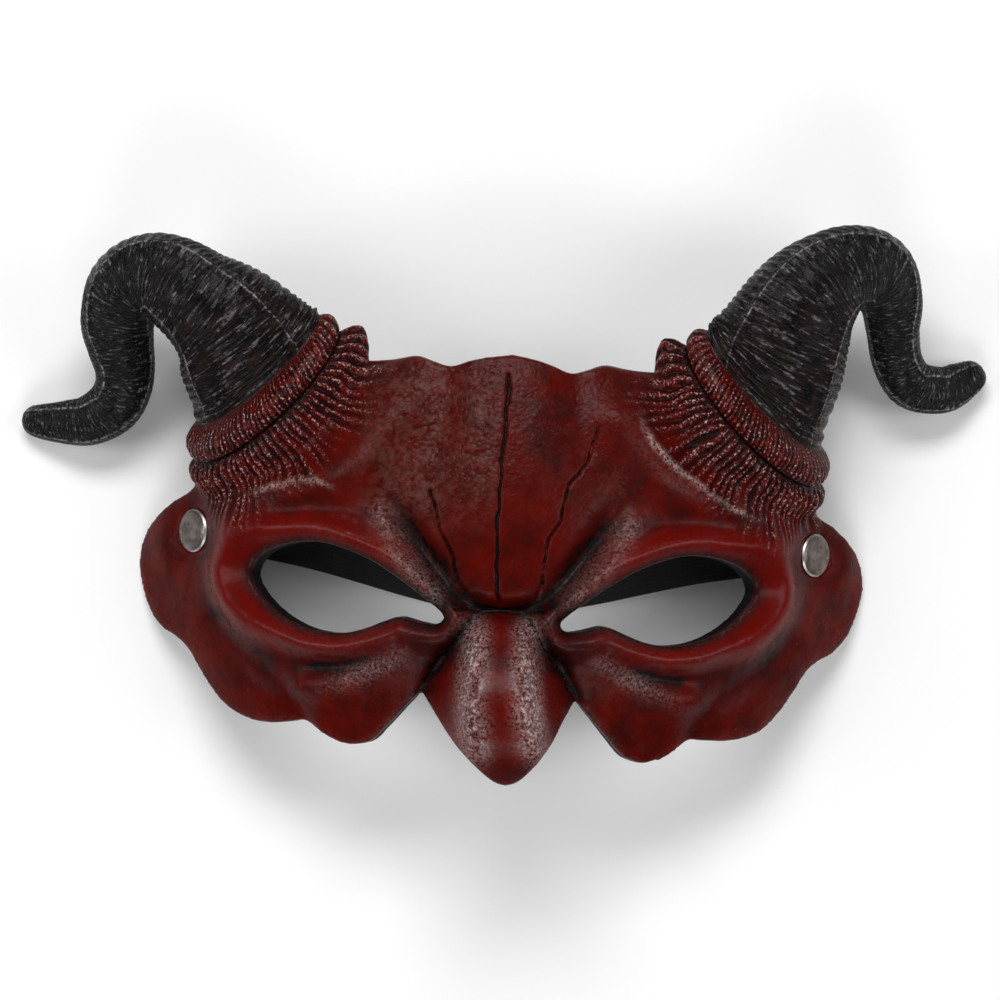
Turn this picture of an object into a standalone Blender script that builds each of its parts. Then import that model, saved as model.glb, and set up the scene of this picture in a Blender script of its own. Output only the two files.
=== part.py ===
# Devil half face mask: one moulded foam casting with two curling horns, two rivets and an
# elastic head strap. It lies on its back, face up: +X is the viewer's right, +Y the forehead,
# +Z towards the viewer. The temple rims and the horn tips rest on z = 0.

import math

import bmesh
import bpy
import numpy as np

# Whole mask: every list of points below is drawn for one of 334 by 190 mm, and follows these two
MASK_WIDTH = 0.334
MASK_HEIGHT = 0.190
WIDE = MASK_WIDTH / 0.334
TALL = MASK_HEIGHT / 0.190

# Face plate
FOAM_THICKNESS = 0.0062
BEND_RADIUS = 0.135 * WIDE
BEND_REACH = 0.098 * WIDE
RIM_REACH = 0.126 * WIDE
FOREHEAD_SETBACK = 0.010
CHEEK_SETBACK = 0.012
REST_TRIM = 0.0018
LEFT_SPREAD = 0.012

# Relief
NOSE_HEIGHT = 0.028
NOSE_TIP_SKEW = 0.003
NOSE_WALL = 0.003
NOSE_RIDGE = 0.0010
NOSE_RIDGE_X = 0.0082 * WIDE
NOSE_FLAT = 0.16
LID_HEIGHT = 0.0042
LID_CREST = 0.0048
LID_WIDTH = 0.0042
LID_FLARE = 0.0035
BROW_HEIGHT = 0.0042
FOREHEAD_SWELL = 0.0030
VALLEY_DEPTH = 0.0046
TEMPLE_SWELL = 0.0022
TEMPLE_DIP = 0.0014

# Collars and horns
COLLAR_TURN = math.radians(39.5)
COLLAR_TILT = math.radians(26)
COLLAR_ROLL = math.radians(-20)
COLLAR_BACK = 0.0040
HORN_RIDGE = 0.0010

# Rivets and strap
RIVET_X = 0.1075 * WIDE
RIVET_Y = -0.0002
RIVET_CAP_DIAMETER = 0.015
RIVET_DOME = 0.0016
RIVET_RIM = 0.0006
RIVET_SEAT = 0.0012
RIVET_SHANK_DIAMETER = 0.004
RIVET_TAIL_DIAMETER = 0.010
RIVET_TAIL_THICKNESS = 0.0012
STRAP_WIDTH = 0.020
STRAP_THICKNESS = 0.0012
STRAP_TAIL = 0.008
STRAP_REST = 0.0003
STRAP_DROOP = 0.018
STRAP_LIFT = 0.0019
FIT_GAP = 0.0003

# Pad behind each rivet, on which the strap's end lies flat
PAD_LENGTH = 0.026
PAD_OFFSET = 0.003
PAD_MARGIN = 0.001
PAD_DEPTH = 0.004
PAD_CLEAR = 0.0005
CUT_REACH = 0.012
HOLE_REACH = 0.020

# Mesh fineness
GRID_STEP = 0.0018
RING_STEP = 0.0014
RING_SIDES = 128
VOXEL = 0.0011
MASK_FACES_KEPT = 0.0342

# Half outline of the plate, from the middle of the top edge round to the tip of the nose
OUTLINE = [
    (0.0000, 0.0625), (0.0065, 0.0612), (0.0135, 0.0595), (0.0200, 0.0575), (0.0260, 0.0590),
    (0.0315, 0.0610), (0.0360, 0.0605), (0.0410, 0.0600), (0.0500, 0.0590), (0.0600, 0.0560),
    (0.0730, 0.0480), (0.0880, 0.0350), (0.1000, 0.0230), (0.1085, 0.0135), (0.1150, 0.0090),
    (0.1205, 0.0030), (0.1245, -0.0040), (0.1260, -0.0120), (0.1245, -0.0195), (0.1210, -0.0280),
    (0.1155, -0.0340), (0.1100, -0.0370), (0.1055, -0.0410), (0.1020, -0.0465), (0.0970, -0.0540),
    (0.0910, -0.0600), (0.0845, -0.0630), (0.0775, -0.0640), (0.0700, -0.0632), (0.0660, -0.0625),
    (0.0625, -0.0640), (0.0565, -0.0682), (0.0510, -0.0705), (0.0465, -0.0705), (0.0415, -0.0683),
    (0.0375, -0.0630), (0.0340, -0.0555), (0.0312, -0.0505), (0.0288, -0.0490), (0.0262, -0.0500),
    (0.0222, -0.0540), (0.0180, -0.0595), (0.0138, -0.0655), (0.0090, -0.0714), (0.0044, -0.0766),
    (0.0018, -0.0782), (0.0000, -0.0786),
]

# Eye opening on the +X side, from the inner corner along the lower lid and back over the top
EYE = [
    (0.0190, -0.0250), (0.0215, -0.0276), (0.0280, -0.0268), (0.0335, -0.0256), (0.0390, -0.0276),
    (0.0460, -0.0306), (0.0530, -0.0321), (0.0600, -0.0320), (0.0665, -0.0306), (0.0738, -0.0273),
    (0.0802, -0.0226), (0.0845, -0.0176), (0.0858, -0.0136), (0.0840, -0.0095), (0.0800, -0.0060),
    (0.0740, -0.0036), (0.0667, -0.0023), (0.0598, -0.0024), (0.0530, -0.0040), (0.0446, -0.0072),
    (0.0363, -0.0118), (0.0289, -0.0167), (0.0230, -0.0210),
]

# Local changes that set the two sides apart: centre, shift and radius
OUTLINE_SHIFTS = {
    -1: [((0.0520, -0.0690), (0.0000, 0.0014), 0.014), ((0.1120, -0.0370), (0.0010, -0.0004), 0.020),
         ((0.0200, 0.0600), (0.0000, 0.0009), 0.020)],
    1: [((0.0490, -0.0690), (0.0008, -0.0013), 0.014), ((0.0640, -0.0640), (0.0000, -0.0010), 0.008),
        ((0.0340, -0.0550), (0.0012, 0.0000), 0.010), ((0.0050, 0.0600), (0.0000, 0.0005), 0.010),
        ((0.0120, -0.0700), (-0.0009, 0.0000), 0.012)],
}
EYE_SHIFT = {-1: 0.0004, 1: 0.0003}
EYE_TURN = {-1: 0.0, 1: 0.027}
EYE_MIDDLE = (0.0520, -0.0160)

# Lines that the relief follows on the +X side
PANEL_VALLEY = [(0.0425, 0.0270), (0.0400, 0.0190), (0.0360, 0.0100), (0.0300, 0.0010),
                (0.0235, -0.0090), (0.0185, -0.0160), (0.0125, -0.0200), (0.0060, -0.0216),
                (0.0000, -0.0219)]
INNER_BROW = [(0.0415, 0.0080), (0.0350, -0.0020), (0.0285, -0.0110), (0.0225, -0.0172)]
BROW = [(0.0910, 0.0060), (0.0810, 0.0130), (0.0700, 0.0175), (0.0600, 0.0195), (0.0510, 0.0245),
        (0.0430, 0.0330), (0.0380, 0.0430)]
UNDER_LID = [(0.0980, -0.0310), (0.0905, -0.0390), (0.0810, -0.0465), (0.0720, -0.0510)]
UNDER_LID_INNER = [(0.0680, -0.0425), (0.0570, -0.0428), (0.0465, -0.0408), (0.0385, -0.0360)]
BAG_RIDGE = [(0.0670, -0.0515), (0.0600, -0.0508), (0.0500, -0.0476), (0.0400, -0.0424),
             (0.0330, -0.0385)]
NOTCH_VALLEY = [(0.0660, -0.0640), (0.0680, -0.0560)]
TOP_VALLEY = [(0.0200, 0.0620), (0.0215, 0.0480), (0.0235, 0.0330)]
NOSE_GROOVE = [(0.0000, -0.0222), (0.0072, -0.0226), (0.0118, -0.0275), (0.0151, -0.0342),
               (0.0191, -0.0382), (0.0227, -0.0442), (0.0255, -0.0500)]

# Raised and sunk lines of the front: height over the plate and width
LINE_RELIEF = [
    (INNER_BROW, 0.0022, 0.0040), (UNDER_LID, -0.0016, 0.0048), (UNDER_LID_INNER, -0.0016, 0.0036),
    (BAG_RIDGE, 0.0012, 0.0040), (NOTCH_VALLEY, -0.0020, 0.0048), (TOP_VALLEY, -0.0016, 0.0060),
    (NOSE_GROOVE, -0.0022, 0.0024),
]
# Broad forms, which the inner face follows too
BROAD_RELIEF = [(BROW, BROW_HEIGHT, 0.0085), (BAG_RIDGE, 0.0018, 0.0075)]

# Side profile of the nose ridge: share of NOSE_HEIGHT along y, and its half width
NOSE_Y = [-0.084, -0.080, -0.070, -0.060, -0.050, -0.040, -0.030, -0.0225]
NOSE_RISE = [0.76, 0.86, 1.0, 1.0, 0.90, 0.68, 0.38, 0.0]
NOSE_HALF = [0.031, 0.031, 0.030, 0.0285, 0.026, 0.0205, 0.0140, 0.0085]

# Collar profile along the horn's axis, measured back from the junction with the horn:
# distance, half width, front depth, how far the ring's front sags back, sideways shift
COLLAR = [
    (-0.0320, 0.0240, 0.0060, 0.0110, -0.0040), (-0.0260, 0.0310, 0.0160, 0.0110, -0.0050),
    (-0.0200, 0.0362, 0.0235, 0.0105, -0.0060), (-0.0165, 0.0408, 0.0265, 0.0090, -0.0058),
    (-0.0140, 0.0414, 0.0275, 0.0062, -0.0054), (-0.0124, 0.0410, 0.0274, 0.0036, -0.0052),
    (-0.0110, 0.0394, 0.0266, 0.0016, -0.0054), (-0.0098, 0.0368, 0.0250, 0.0005, -0.0052),
    (-0.0090, 0.0340, 0.0226, 0.0000, -0.0048), (-0.0080, 0.0350, 0.0240, 0.0000, -0.0048),
    (-0.0062, 0.0354, 0.0246, 0.0000, -0.0044), (-0.0040, 0.0352, 0.0236, 0.0000, -0.0036),
    (-0.0022, 0.0340, 0.0212, 0.0000, -0.0028), (-0.0010, 0.0318, 0.0182, 0.0000, -0.0018),
    (-0.0002, 0.0291, 0.0152, 0.0000, -0.0006), (0.0030, 0.0284, 0.0146, 0.0000, 0.0000),
]

# Centre line of each horn from the junction to the tip: x, y, z and half width
HORNS = {
    -1: [(0.0856, 0.0563, 0.0410, 0.0284), (0.0960, 0.0702, 0.0470, 0.0214),
         (0.1074, 0.0790, 0.0475, 0.0164), (0.1179, 0.0853, 0.0450, 0.0139),
         (0.1264, 0.0852, 0.0415, 0.0134), (0.1323, 0.0803, 0.0380, 0.0130),
         (0.1350, 0.0706, 0.0315, 0.0122), (0.1343, 0.0630, 0.0270, 0.0108),
         (0.1329, 0.0547, 0.0225, 0.0097), (0.1338, 0.0475, 0.0185, 0.0092),
         (0.1375, 0.0413, 0.0150, 0.0089), (0.1453, 0.0366, 0.0112, 0.0082),
         (0.1533, 0.0356, 0.0076, 0.0073), (0.1632, 0.0357, 0.0046, 0.0058),
         (0.1698, 0.0369, 0.0040, 0.0043)],
    1: [(0.0856, 0.0563, 0.0410, 0.0284), (0.0922, 0.0746, 0.0470, 0.0218),
        (0.0988, 0.0868, 0.0475, 0.0183), (0.1079, 0.0952, 0.0450, 0.0149),
        (0.1177, 0.0982, 0.0410, 0.0134), (0.1242, 0.0958, 0.0365, 0.0123),
        (0.1288, 0.0876, 0.0300, 0.0104), (0.1304, 0.0776, 0.0245, 0.0087),
        (0.1328, 0.0679, 0.0195, 0.0083), (0.1386, 0.0603, 0.0150, 0.0084),
        (0.1490, 0.0587, 0.0094, 0.0078), (0.1562, 0.0614, 0.0055, 0.0070),
        (0.1650, 0.0668, 0.0038, 0.0044)],
}

# Strap between the pad and the middle: share of the way in, share of the height kept
STRAP_ROUTE = [(0.12, 1.12), (0.22, 1.10), (0.34, 0.90), (0.46, 0.56), (0.57, 0.26), (0.68, 0.07),
               (0.80, 0.0), (0.92, 0.0), (1.0, 0.0)]

# Values that follow from the driving sizes
BEND_LIMIT = math.asin(BEND_REACH / BEND_RADIUS)
RIM_DROP = (BEND_RADIUS * (1 - math.cos(BEND_LIMIT))
            + (RIM_REACH - BEND_REACH) * math.tan(BEND_LIMIT))
CROWN_HEIGHT = RIM_DROP + FOAM_THICKNESS * math.cos(BEND_LIMIT) - REST_TRIM
STRAP_PLANE = -FOAM_THICKNESS - FIT_GAP
TAIL_PLANE = STRAP_PLANE - STRAP_THICKNESS - FIT_GAP


def to_size(points):
    """Points as drawn, brought to the mask's width and height."""
    drawn = np.array(points, dtype=float)
    return drawn * np.array((WIDE, TALL, WIDE, WIDE))[:drawn.shape[1]]


def clear_scene():
    for item in list(bpy.data.objects):
        bpy.data.objects.remove(item, do_unlink=True)


def make_collection(name):
    collection = bpy.data.collections.new(name)
    bpy.context.scene.collection.children.link(collection)
    return collection


def make_material(name, color, roughness, metallic=0.0):
    material = bpy.data.materials.new(name)
    material.use_nodes = True
    shader = material.node_tree.nodes["Principled BSDF"]
    shader.inputs["Base Color"].default_value = (*color, 1.0)
    shader.inputs["Roughness"].default_value = roughness
    shader.inputs["Metallic"].default_value = metallic
    return material


def add_object(name, mesh, collection, material=None):
    item = bpy.data.objects.new(name, mesh)
    collection.objects.link(item)
    if material:
        mesh.materials.append(material)
    return item


def mesh_from_bmesh(name, bm):
    mesh = bpy.data.meshes.new(name)
    bm.to_mesh(mesh)
    bm.free()
    return mesh


# Smooth curves through hand-set points

def smooth_curve(points, closed=False, per_span=6):
    """Catmull-Rom points through a list, as an array."""
    knots = np.array(points, dtype=float)
    count = len(knots)
    spans = count if closed else count - 1
    shares = np.arange(per_span) / per_span
    rows = []
    for index in range(spans):
        if closed:
            a, b, c, d = (knots[(index + k) % count] for k in (-1, 0, 1, 2))
        else:
            a = knots[max(index - 1, 0)]
            b = knots[index]
            c = knots[index + 1]
            d = knots[min(index + 2, count - 1)]
        for t in shares:
            rows.append(0.5 * (2 * b + (c - a) * t + (2 * a - 5 * b + 4 * c - d) * t ** 2
                               + (3 * b - a - 3 * c + d) * t ** 3))
    if not closed:
        rows.append(knots[-1])
    return np.array(rows)


def distance_to(x, y, line, closed=False):
    """Distance of each point to a polyline, and its share along the line."""
    best = np.full(x.shape, 1e9)
    share = np.zeros(x.shape)
    ends = list(range(len(line) - 1)) + ([len(line) - 1] if closed else [])
    for index in ends:
        ax, ay = line[index]
        bx, by = line[(index + 1) % len(line)]
        dx, dy = bx - ax, by - ay
        t = np.clip(((x - ax) * dx + (y - ay) * dy) / (dx * dx + dy * dy), 0, 1)
        gap = np.hypot(x - ax - t * dx, y - ay - t * dy)
        nearer = gap < best
        best = np.where(nearer, gap, best)
        share = np.where(nearer, (index + t) / len(ends), share)
    return best, share


def bell(distance, width):
    return np.exp(-(distance / width) ** 2)


def fade(value, low, high):
    t = np.clip((value - low) / (high - low), 0, 1)
    return t * t * (3 - 2 * t)


# Relief of the face: height of the front above the plain bent plate

def eye_line(side):
    """Edge of one eye opening, on the +X side of the face."""
    line = smooth_curve(to_size(EYE), closed=True, per_span=3)
    middle = to_size([EYE_MIDDLE])[0]
    turn = EYE_TURN[side]
    x, y = (line - middle).T
    turned_x = x * math.cos(turn) - y * math.sin(turn)
    turned_y = x * math.sin(turn) + y * math.cos(turn)
    return np.column_stack((turned_x, turned_y + EYE_SHIFT[side])) + middle


def nose_skew(x, y):
    """Sideways lean of the nose towards its tip."""
    return NOSE_TIP_SKEW * fade(-y, 0.045, 0.080) * (1 - fade(np.abs(x), 0.027, 0.033))


def nose_height(x, y):
    rows = np.array(NOSE_Y) * TALL
    rise = np.interp(y, rows, NOSE_RISE) * NOSE_HEIGHT
    half = np.interp(y, rows, NOSE_HALF) * WIDE
    side = np.abs(x - nose_skew(x, y))
    ridge = NOSE_RIDGE * bell(side - NOSE_RIDGE_X, 0.0036) * fade(-y, 0.024, 0.034)
    return rise * (1 - fade(side, NOSE_FLAT * half, 1.04 * half)) + ridge * fade(rise, 0.0, 0.010)


def broad_height(x, y):
    side = np.abs(x)
    height = FOREHEAD_SWELL * bell(side, 0.026) * fade(y, -0.020, 0.012)
    for line, rise, width in BROAD_RELIEF:
        height = height + rise * bell(distance_to(side, y, to_size(line))[0], width)
    return height


def carved_height(x, y):
    side = np.abs(x)
    lid_gap = np.where(x < 0, distance_to(side, y, eye_line(-1), closed=True)[0],
                       distance_to(side, y, eye_line(1), closed=True)[0])
    outer = fade(side, 0.070, 0.092)
    height = LID_HEIGHT * bell(lid_gap - LID_CREST - LID_FLARE * outer,
                               LID_WIDTH + 0.4 * LID_FLARE * outer)
    valley_gap, along = distance_to(side, y, to_size(PANEL_VALLEY))
    depth = VALLEY_DEPTH * (0.30 + 0.70 * fade(along, 0.10, 0.45)) * (1 - 0.25 * fade(along, 0.75, 1))
    height = height - depth * bell(valley_gap, 0.0052 - 0.0020 * along)
    for line, rise, width in LINE_RELIEF:
        height = height + rise * bell(distance_to(side, y, to_size(line))[0], width)
    swell = np.hypot(side - RIVET_X - 0.010, (y - RIVET_Y + 0.004) / 1.3)
    dip = np.hypot((side - RIVET_X) / 0.72, y - RIVET_Y)
    return height + TEMPLE_SWELL * bell(swell, 0.0065) - TEMPLE_DIP * bell(dip, 0.0095)


# The plate is cut flat and then bent: u runs across the face, y up it, w out of it

def unroll(x):
    angle = np.arcsin(np.clip(x / BEND_RADIUS, -math.sin(BEND_LIMIT), math.sin(BEND_LIMIT)))
    return angle * BEND_RADIUS + (x - BEND_RADIUS * np.sin(angle)) / np.cos(angle)


def bend(u, y, w):
    angle = np.clip(u / BEND_RADIUS, -BEND_LIMIT, BEND_LIMIT)
    over = u - angle * BEND_RADIUS
    x = BEND_RADIUS * np.sin(angle) + over * np.cos(angle) + w * np.sin(angle)
    drop = BEND_RADIUS * (1 - np.cos(angle)) + over * np.sin(angle)
    setback = (FOREHEAD_SETBACK * (np.maximum(y / TALL - 0.005, 0) / 0.057) ** 2
               + CHEEK_SETBACK * (np.maximum(-0.015 - y / TALL, 0) / 0.055) ** 2)
    z = CROWN_HEIGHT - drop - setback + w * np.cos(angle)
    return x, z


def flat_prism(name, points, depth, collection):
    """Straight prism over a closed outline in the flat sheet."""
    bm = bmesh.new()
    ring = [bm.verts.new((u, y, -depth)) for u, y in points]
    base = bm.faces.new(ring)
    lifted = bmesh.ops.extrude_face_region(bm, geom=[base])
    top = [v for v in lifted["geom"] if isinstance(v, bmesh.types.BMVert)]
    bmesh.ops.translate(bm, verts=top, vec=(0, 0, 2 * depth))
    bmesh.ops.recalc_face_normals(bm, faces=bm.faces)
    return add_cutter(name, bm, collection)


def cut(item, cutter, operation):
    modifier = item.modifiers.new(cutter.name, "BOOLEAN")
    modifier.operation = operation
    modifier.object = cutter
    modifier.solver = "EXACT"


def applied_mesh(item):
    graph = bpy.context.evaluated_depsgraph_get()
    return bpy.data.meshes.new_from_object(item.evaluated_get(graph))


def half_outline(side):
    """Plate edge on one side, in the flat sheet, from the top to the tip of the nose."""
    line = smooth_curve(OUTLINE, per_span=3)
    for centre, shift, radius in OUTLINE_SHIFTS[side]:
        share = bell(np.hypot(*(line - centre).T), radius)
        line = line + np.outer(share, shift)
    line[:, 0] *= 1 + (LEFT_SPREAD if side < 0 else 0)
    points = [(unroll(side * x + nose_skew(x, y)), y) for x, y in to_size(line)]
    return points


def face_plate(collection, cutters):
    """The face as a closed shell: a flat sheet cut to outline, bent and given its relief."""
    outline = flat_prism("outline", half_outline(1) + half_outline(-1)[-2:0:-1], 0.02, cutters)
    eyes = []
    for side in (-1, 1):
        points = [(unroll(side * x), y) for x, y in eye_line(side)]
        eyes.append(flat_prism("eye_cut", points, 0.03, cutters))
    reach_u = unroll(RIM_REACH) + 0.004
    reach_y = 0.45 * MASK_HEIGHT
    bm = bmesh.new()
    bmesh.ops.create_grid(bm, x_segments=int(2 * reach_u / GRID_STEP),
                          y_segments=int(2 * reach_y / GRID_STEP), size=1.0)
    for vertex in bm.verts:
        vertex.co = (vertex.co.x * reach_u, vertex.co.y * reach_y, -0.001)
    lifted = bmesh.ops.extrude_face_region(bm, geom=list(bm.faces))
    top = [v for v in lifted["geom"] if isinstance(v, bmesh.types.BMVert)]
    bmesh.ops.translate(bm, verts=top, vec=(0, 0, 0.002))
    bmesh.ops.recalc_face_normals(bm, faces=bm.faces)
    sheet = add_object("face_sheet", mesh_from_bmesh("face_sheet", bm), collection)
    cut(sheet, outline, "INTERSECT")
    for eye in eyes:
        cut(sheet, eye, "DIFFERENCE")
    mesh = applied_mesh(sheet)
    bpy.data.objects.remove(sheet)
    points = np.empty(len(mesh.vertices) * 3)
    mesh.vertices.foreach_get("co", points)
    u, y, level = points.reshape(-1, 3).T
    x, _ = bend(u, y, 0)
    nose = nose_height(x, y)
    front = broad_height(x, y) + carved_height(x, y) + nose
    inner_nose = nose_height(np.abs(x) + NOSE_WALL, y)
    back = broad_height(x, y) * 0.7 + inner_nose - FOAM_THICKNESS
    w = np.where(level > 0, front, np.minimum(back, front - 0.6 * FOAM_THICKNESS))
    px, pz = bend(u, y, w)
    mesh.vertices.foreach_set("co", np.column_stack((px, y, pz)).ravel())
    return mesh


# Collar and horn: rings swept along a centre line

def collar_frame():
    """Axis, front and width directions of the collar's rings, on the +X side."""
    axis = np.array((math.cos(COLLAR_TURN) * math.cos(COLLAR_TILT),
                     math.sin(COLLAR_TURN) * math.cos(COLLAR_TILT), math.sin(COLLAR_TILT)))
    up = np.array((0, 0, 1.0)) - axis * axis[2]
    up /= np.linalg.norm(up)
    front = up * math.cos(COLLAR_ROLL) + np.cross(up, axis) * math.sin(COLLAR_ROLL)
    return axis, front, np.cross(front, axis)


def horn_rings(side):
    """Rings of points from the collar's buried end to the horn's tip."""
    points = to_size(HORNS[side])
    rows = np.array(COLLAR)
    base = points[0, :3]
    axis, front, _ = collar_frame()
    roots = [base + axis * row[0] for row in COLLAR[::4]]
    line = smooth_curve(np.vstack((roots, points[:, :3])), per_span=10)
    run = np.concatenate(([0], np.cumsum(np.linalg.norm(np.diff(line, axis=0), axis=1))))
    run = run - run[np.argmin(np.linalg.norm(line - base, axis=1))]
    marks = [run[np.argmin(np.linalg.norm(line - p, axis=1))] for p in points[:, :3]]
    stations = np.concatenate((np.arange(rows[0, 0], 0.0, RING_STEP / 2),
                               np.arange(0.0, run[-1], RING_STEP)))
    centres = np.column_stack([np.interp(stations, run, line[:, k]) for k in range(3)])
    centres = np.where((stations < 0)[:, None], base + np.outer(stations, axis), centres)
    half = np.interp(stations, rows[:, 0], rows[:, 1])
    half = np.where(stations < rows[-1, 0], half, np.interp(stations, marks, points[:, 3]))
    settle = fade(stations, 0.0, 0.045)
    depth = np.interp(stations, rows[:, 0], rows[:, 2])
    depth = np.where(stations < rows[-1, 0], depth, half * (0.52 + 0.40 * settle))
    sag, shift = (np.interp(stations, rows[:, 0], rows[:, k]) for k in (3, 4))
    back = COLLAR_BACK + (half * 0.92 - COLLAR_BACK) * fade(stations, -0.004, 0.040)
    tip = np.clip(stations - stations[-1] + 0.004, 0, None) / 0.0043
    tip = np.sqrt(np.clip(1 - tip ** 2, 0.02, 1))
    tangents = np.gradient(centres, axis=0)
    tangents /= np.linalg.norm(tangents, axis=1)[:, None]
    turn_in = fade(stations, 0.0, 0.022)[:, None]
    tangents = axis * (1 - turn_in) + tangents * turn_in
    tangents /= np.linalg.norm(tangents, axis=1)[:, None]
    hints = np.outer(1 - settle, front) + np.outer(settle, (0, 0, 1.0))
    fronts = hints - tangents * (hints * tangents).sum(axis=1)[:, None]
    fronts /= np.linalg.norm(fronts, axis=1)[:, None]
    wides = np.cross(fronts, tangents)
    centres = centres + wides * shift[:, None]
    turns = np.linspace(0, 2 * math.pi, RING_SIDES, endpoint=False)
    sine, cosine = np.sin(turns), np.cos(turns)
    rings = []
    for index, station in enumerate(stations):
        swell = horn_ridge(turns, station, half[index])
        across = (half[index] * tip[index] + swell) * sine
        deep = np.where(cosine > 0, depth[index], back[index]) * tip[index]
        ring = (centres[index] + np.outer(across, wides[index])
                + np.outer((deep + swell) * cosine, fronts[index])
                - np.outer(sag[index] * np.maximum(cosine, 0), tangents[index]))
        rings.append(ring * (side, 1, 1))
    return rings


def horn_ridge(turns, station, half):
    """Two long ridges that part the horn's ribbed outer side from its flanks."""
    share = fade(station, 0.002, 0.010) * min(1.0, half / 0.010)
    turn = (turns + math.pi) % (2 * math.pi) - math.pi
    bumps = bell(turn + 0.62, 0.16) + bell(turn - 1.05, 0.16)
    return HORN_RIDGE * share * bumps


def horn_mesh(side):
    """Closed skin over the rings of one collar and horn."""
    bm = bmesh.new()
    loops = []
    for ring in horn_rings(side):
        loops.append([bm.verts.new(point) for point in ring])
    for lower, upper in zip(loops, loops[1:]):
        for k in range(RING_SIDES):
            n = (k + 1) % RING_SIDES
            bm.faces.new((lower[k], lower[n], upper[n], upper[k]))
    bm.faces.new(loops[0])
    bm.faces.new(loops[-1])
    bmesh.ops.recalc_face_normals(bm, faces=bm.faces)
    return bm


# Rivet axis on the temple: straight out of the bent plate

def rivet_frame(side):
    """Matrix that stands local z on the plate at the rivet, x towards the rim."""
    angle = side * BEND_LIMIT
    x, z = bend(unroll(side * RIVET_X), np.array(RIVET_Y), 0.0)
    out = np.array((math.sin(angle), 0, math.cos(angle)))
    rim = np.array((math.cos(angle), 0, -math.sin(angle))) * side
    return np.array((float(x), RIVET_Y, float(z))), out, rim


def place_on_rivet(bm, side):
    origin, out, rim = rivet_frame(side)
    cross = np.cross(out, rim)
    for vertex in bm.verts:
        a, b, c = vertex.co
        vertex.co = origin + rim * a + cross * b + out * c


def turned(profile, steps):
    """Solid of revolution about z from (radius, height) points that begin and end on the axis."""
    bm = bmesh.new()
    verts = [bm.verts.new((radius, 0, height)) for radius, height in profile]
    for a, b in zip(verts, verts[1:]):
        bm.edges.new((a, b))
    bmesh.ops.spin(bm, geom=list(bm.verts) + list(bm.edges), cent=(0, 0, 0), axis=(0, 0, 1),
                   angle=2 * math.pi, steps=steps, use_merge=True)
    bmesh.ops.remove_doubles(bm, verts=bm.verts, dist=0.00001)
    bmesh.ops.recalc_face_normals(bm, faces=bm.faces)
    return bm


def rivet_profile():
    """Half section of the rivet: domed cap, shank through foam and strap, tail."""
    cap = RIVET_CAP_DIAMETER / 2
    shank = RIVET_SHANK_DIAMETER / 2
    tail = RIVET_TAIL_DIAMETER / 2
    end = TAIL_PLANE - RIVET_TAIL_THICKNESS
    dome = []
    for step in range(5):
        turn = step / 4 * math.pi / 2
        dome.append((cap * math.sin(turn), RIVET_RIM - RIVET_SEAT + RIVET_DOME * math.cos(turn)))
    return dome + [(cap, -RIVET_SEAT), (shank, -RIVET_SEAT), (shank, TAIL_PLANE),
                   (tail, TAIL_PLANE), (tail, end), (0.0, end)]


def rivet_mesh(side):
    bm = turned(rivet_profile(), 18)
    place_on_rivet(bm, side)
    return mesh_from_bmesh("rivet", bm)


def add_cutter(name, bm, cutters):
    item = add_object(name, mesh_from_bmesh(name, bm), cutters)
    item.display_type = "WIRE"
    item.hide_render = True
    return item


def box_bmesh(low, high):
    bm = bmesh.new()
    bmesh.ops.create_cube(bm, size=1.0)
    for vertex in bm.verts:
        vertex.co = [a + (b - a) * (c + 0.5) for a, b, c in zip(low, high, vertex.co)]
    return bm


def seat_cutters(side, cutters):
    """Pocket for the cap, hole for the shank and flat pad for the strap's end."""
    cap = RIVET_CAP_DIAMETER / 2 + FIT_GAP
    shank = RIVET_SHANK_DIAMETER / 2 + FIT_GAP
    floor = -RIVET_SEAT - FIT_GAP
    pocket = turned([(0.0, CUT_REACH), (cap, CUT_REACH), (cap, floor), (shank, floor),
                     (shank, -HOLE_REACH), (0.0, -HOLE_REACH)], 32)
    half = STRAP_WIDTH / 2 + PAD_MARGIN
    top = STRAP_PLANE + PAD_CLEAR
    pad = box_bmesh((-PAD_OFFSET - PAD_LENGTH / 2, -half, top - PAD_DEPTH),
                    (-PAD_OFFSET + PAD_LENGTH / 2, half, top))
    for bm in (pocket, pad):
        place_on_rivet(bm, side)
    return add_cutter("rivet_seat", pocket, cutters), add_cutter("strap_pad", pad, cutters)


# Elastic strap: a flat band on a centre line from rivet to rivet

def strap_half_line():
    """Centre line of the +X half as (x, z, y) rows, from its tail to the middle."""
    origin, out, rim = rivet_frame(1)
    middle = STRAP_PLANE - STRAP_THICKNESS / 2
    start = origin + out * middle
    floor = STRAP_REST + STRAP_THICKNESS / 2
    pad_end = PAD_LENGTH / 2 - PAD_MARGIN
    spots = [start + rim * STRAP_TAIL, start + rim * STRAP_TAIL / 2, start,
             start - rim * pad_end / 2, start - rim * pad_end]
    rows = [(p[0], p[2]) for p in spots]
    x, z = rows[-1]
    for share, height in STRAP_ROUTE:
        rows.append((x * (1 - share), floor + (z - floor) * height))
    return rows


def strap_line():
    half = smooth_curve(strap_half_line(), per_span=3)
    rows = []
    for x, z in half:
        sag = STRAP_DROOP * (1 - np.clip(x / 0.085, 0, 1)) ** 1.15
        lift = STRAP_LIFT * fade(x, 0.030, 0.070) * (1 - fade(x, 0.085, 0.104))
        rows.append((x, RIVET_Y - sag + lift, z))
    mirrored = [(-x, y, z) for x, y, z in rows[-2::-1]]
    return rows + mirrored


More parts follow.
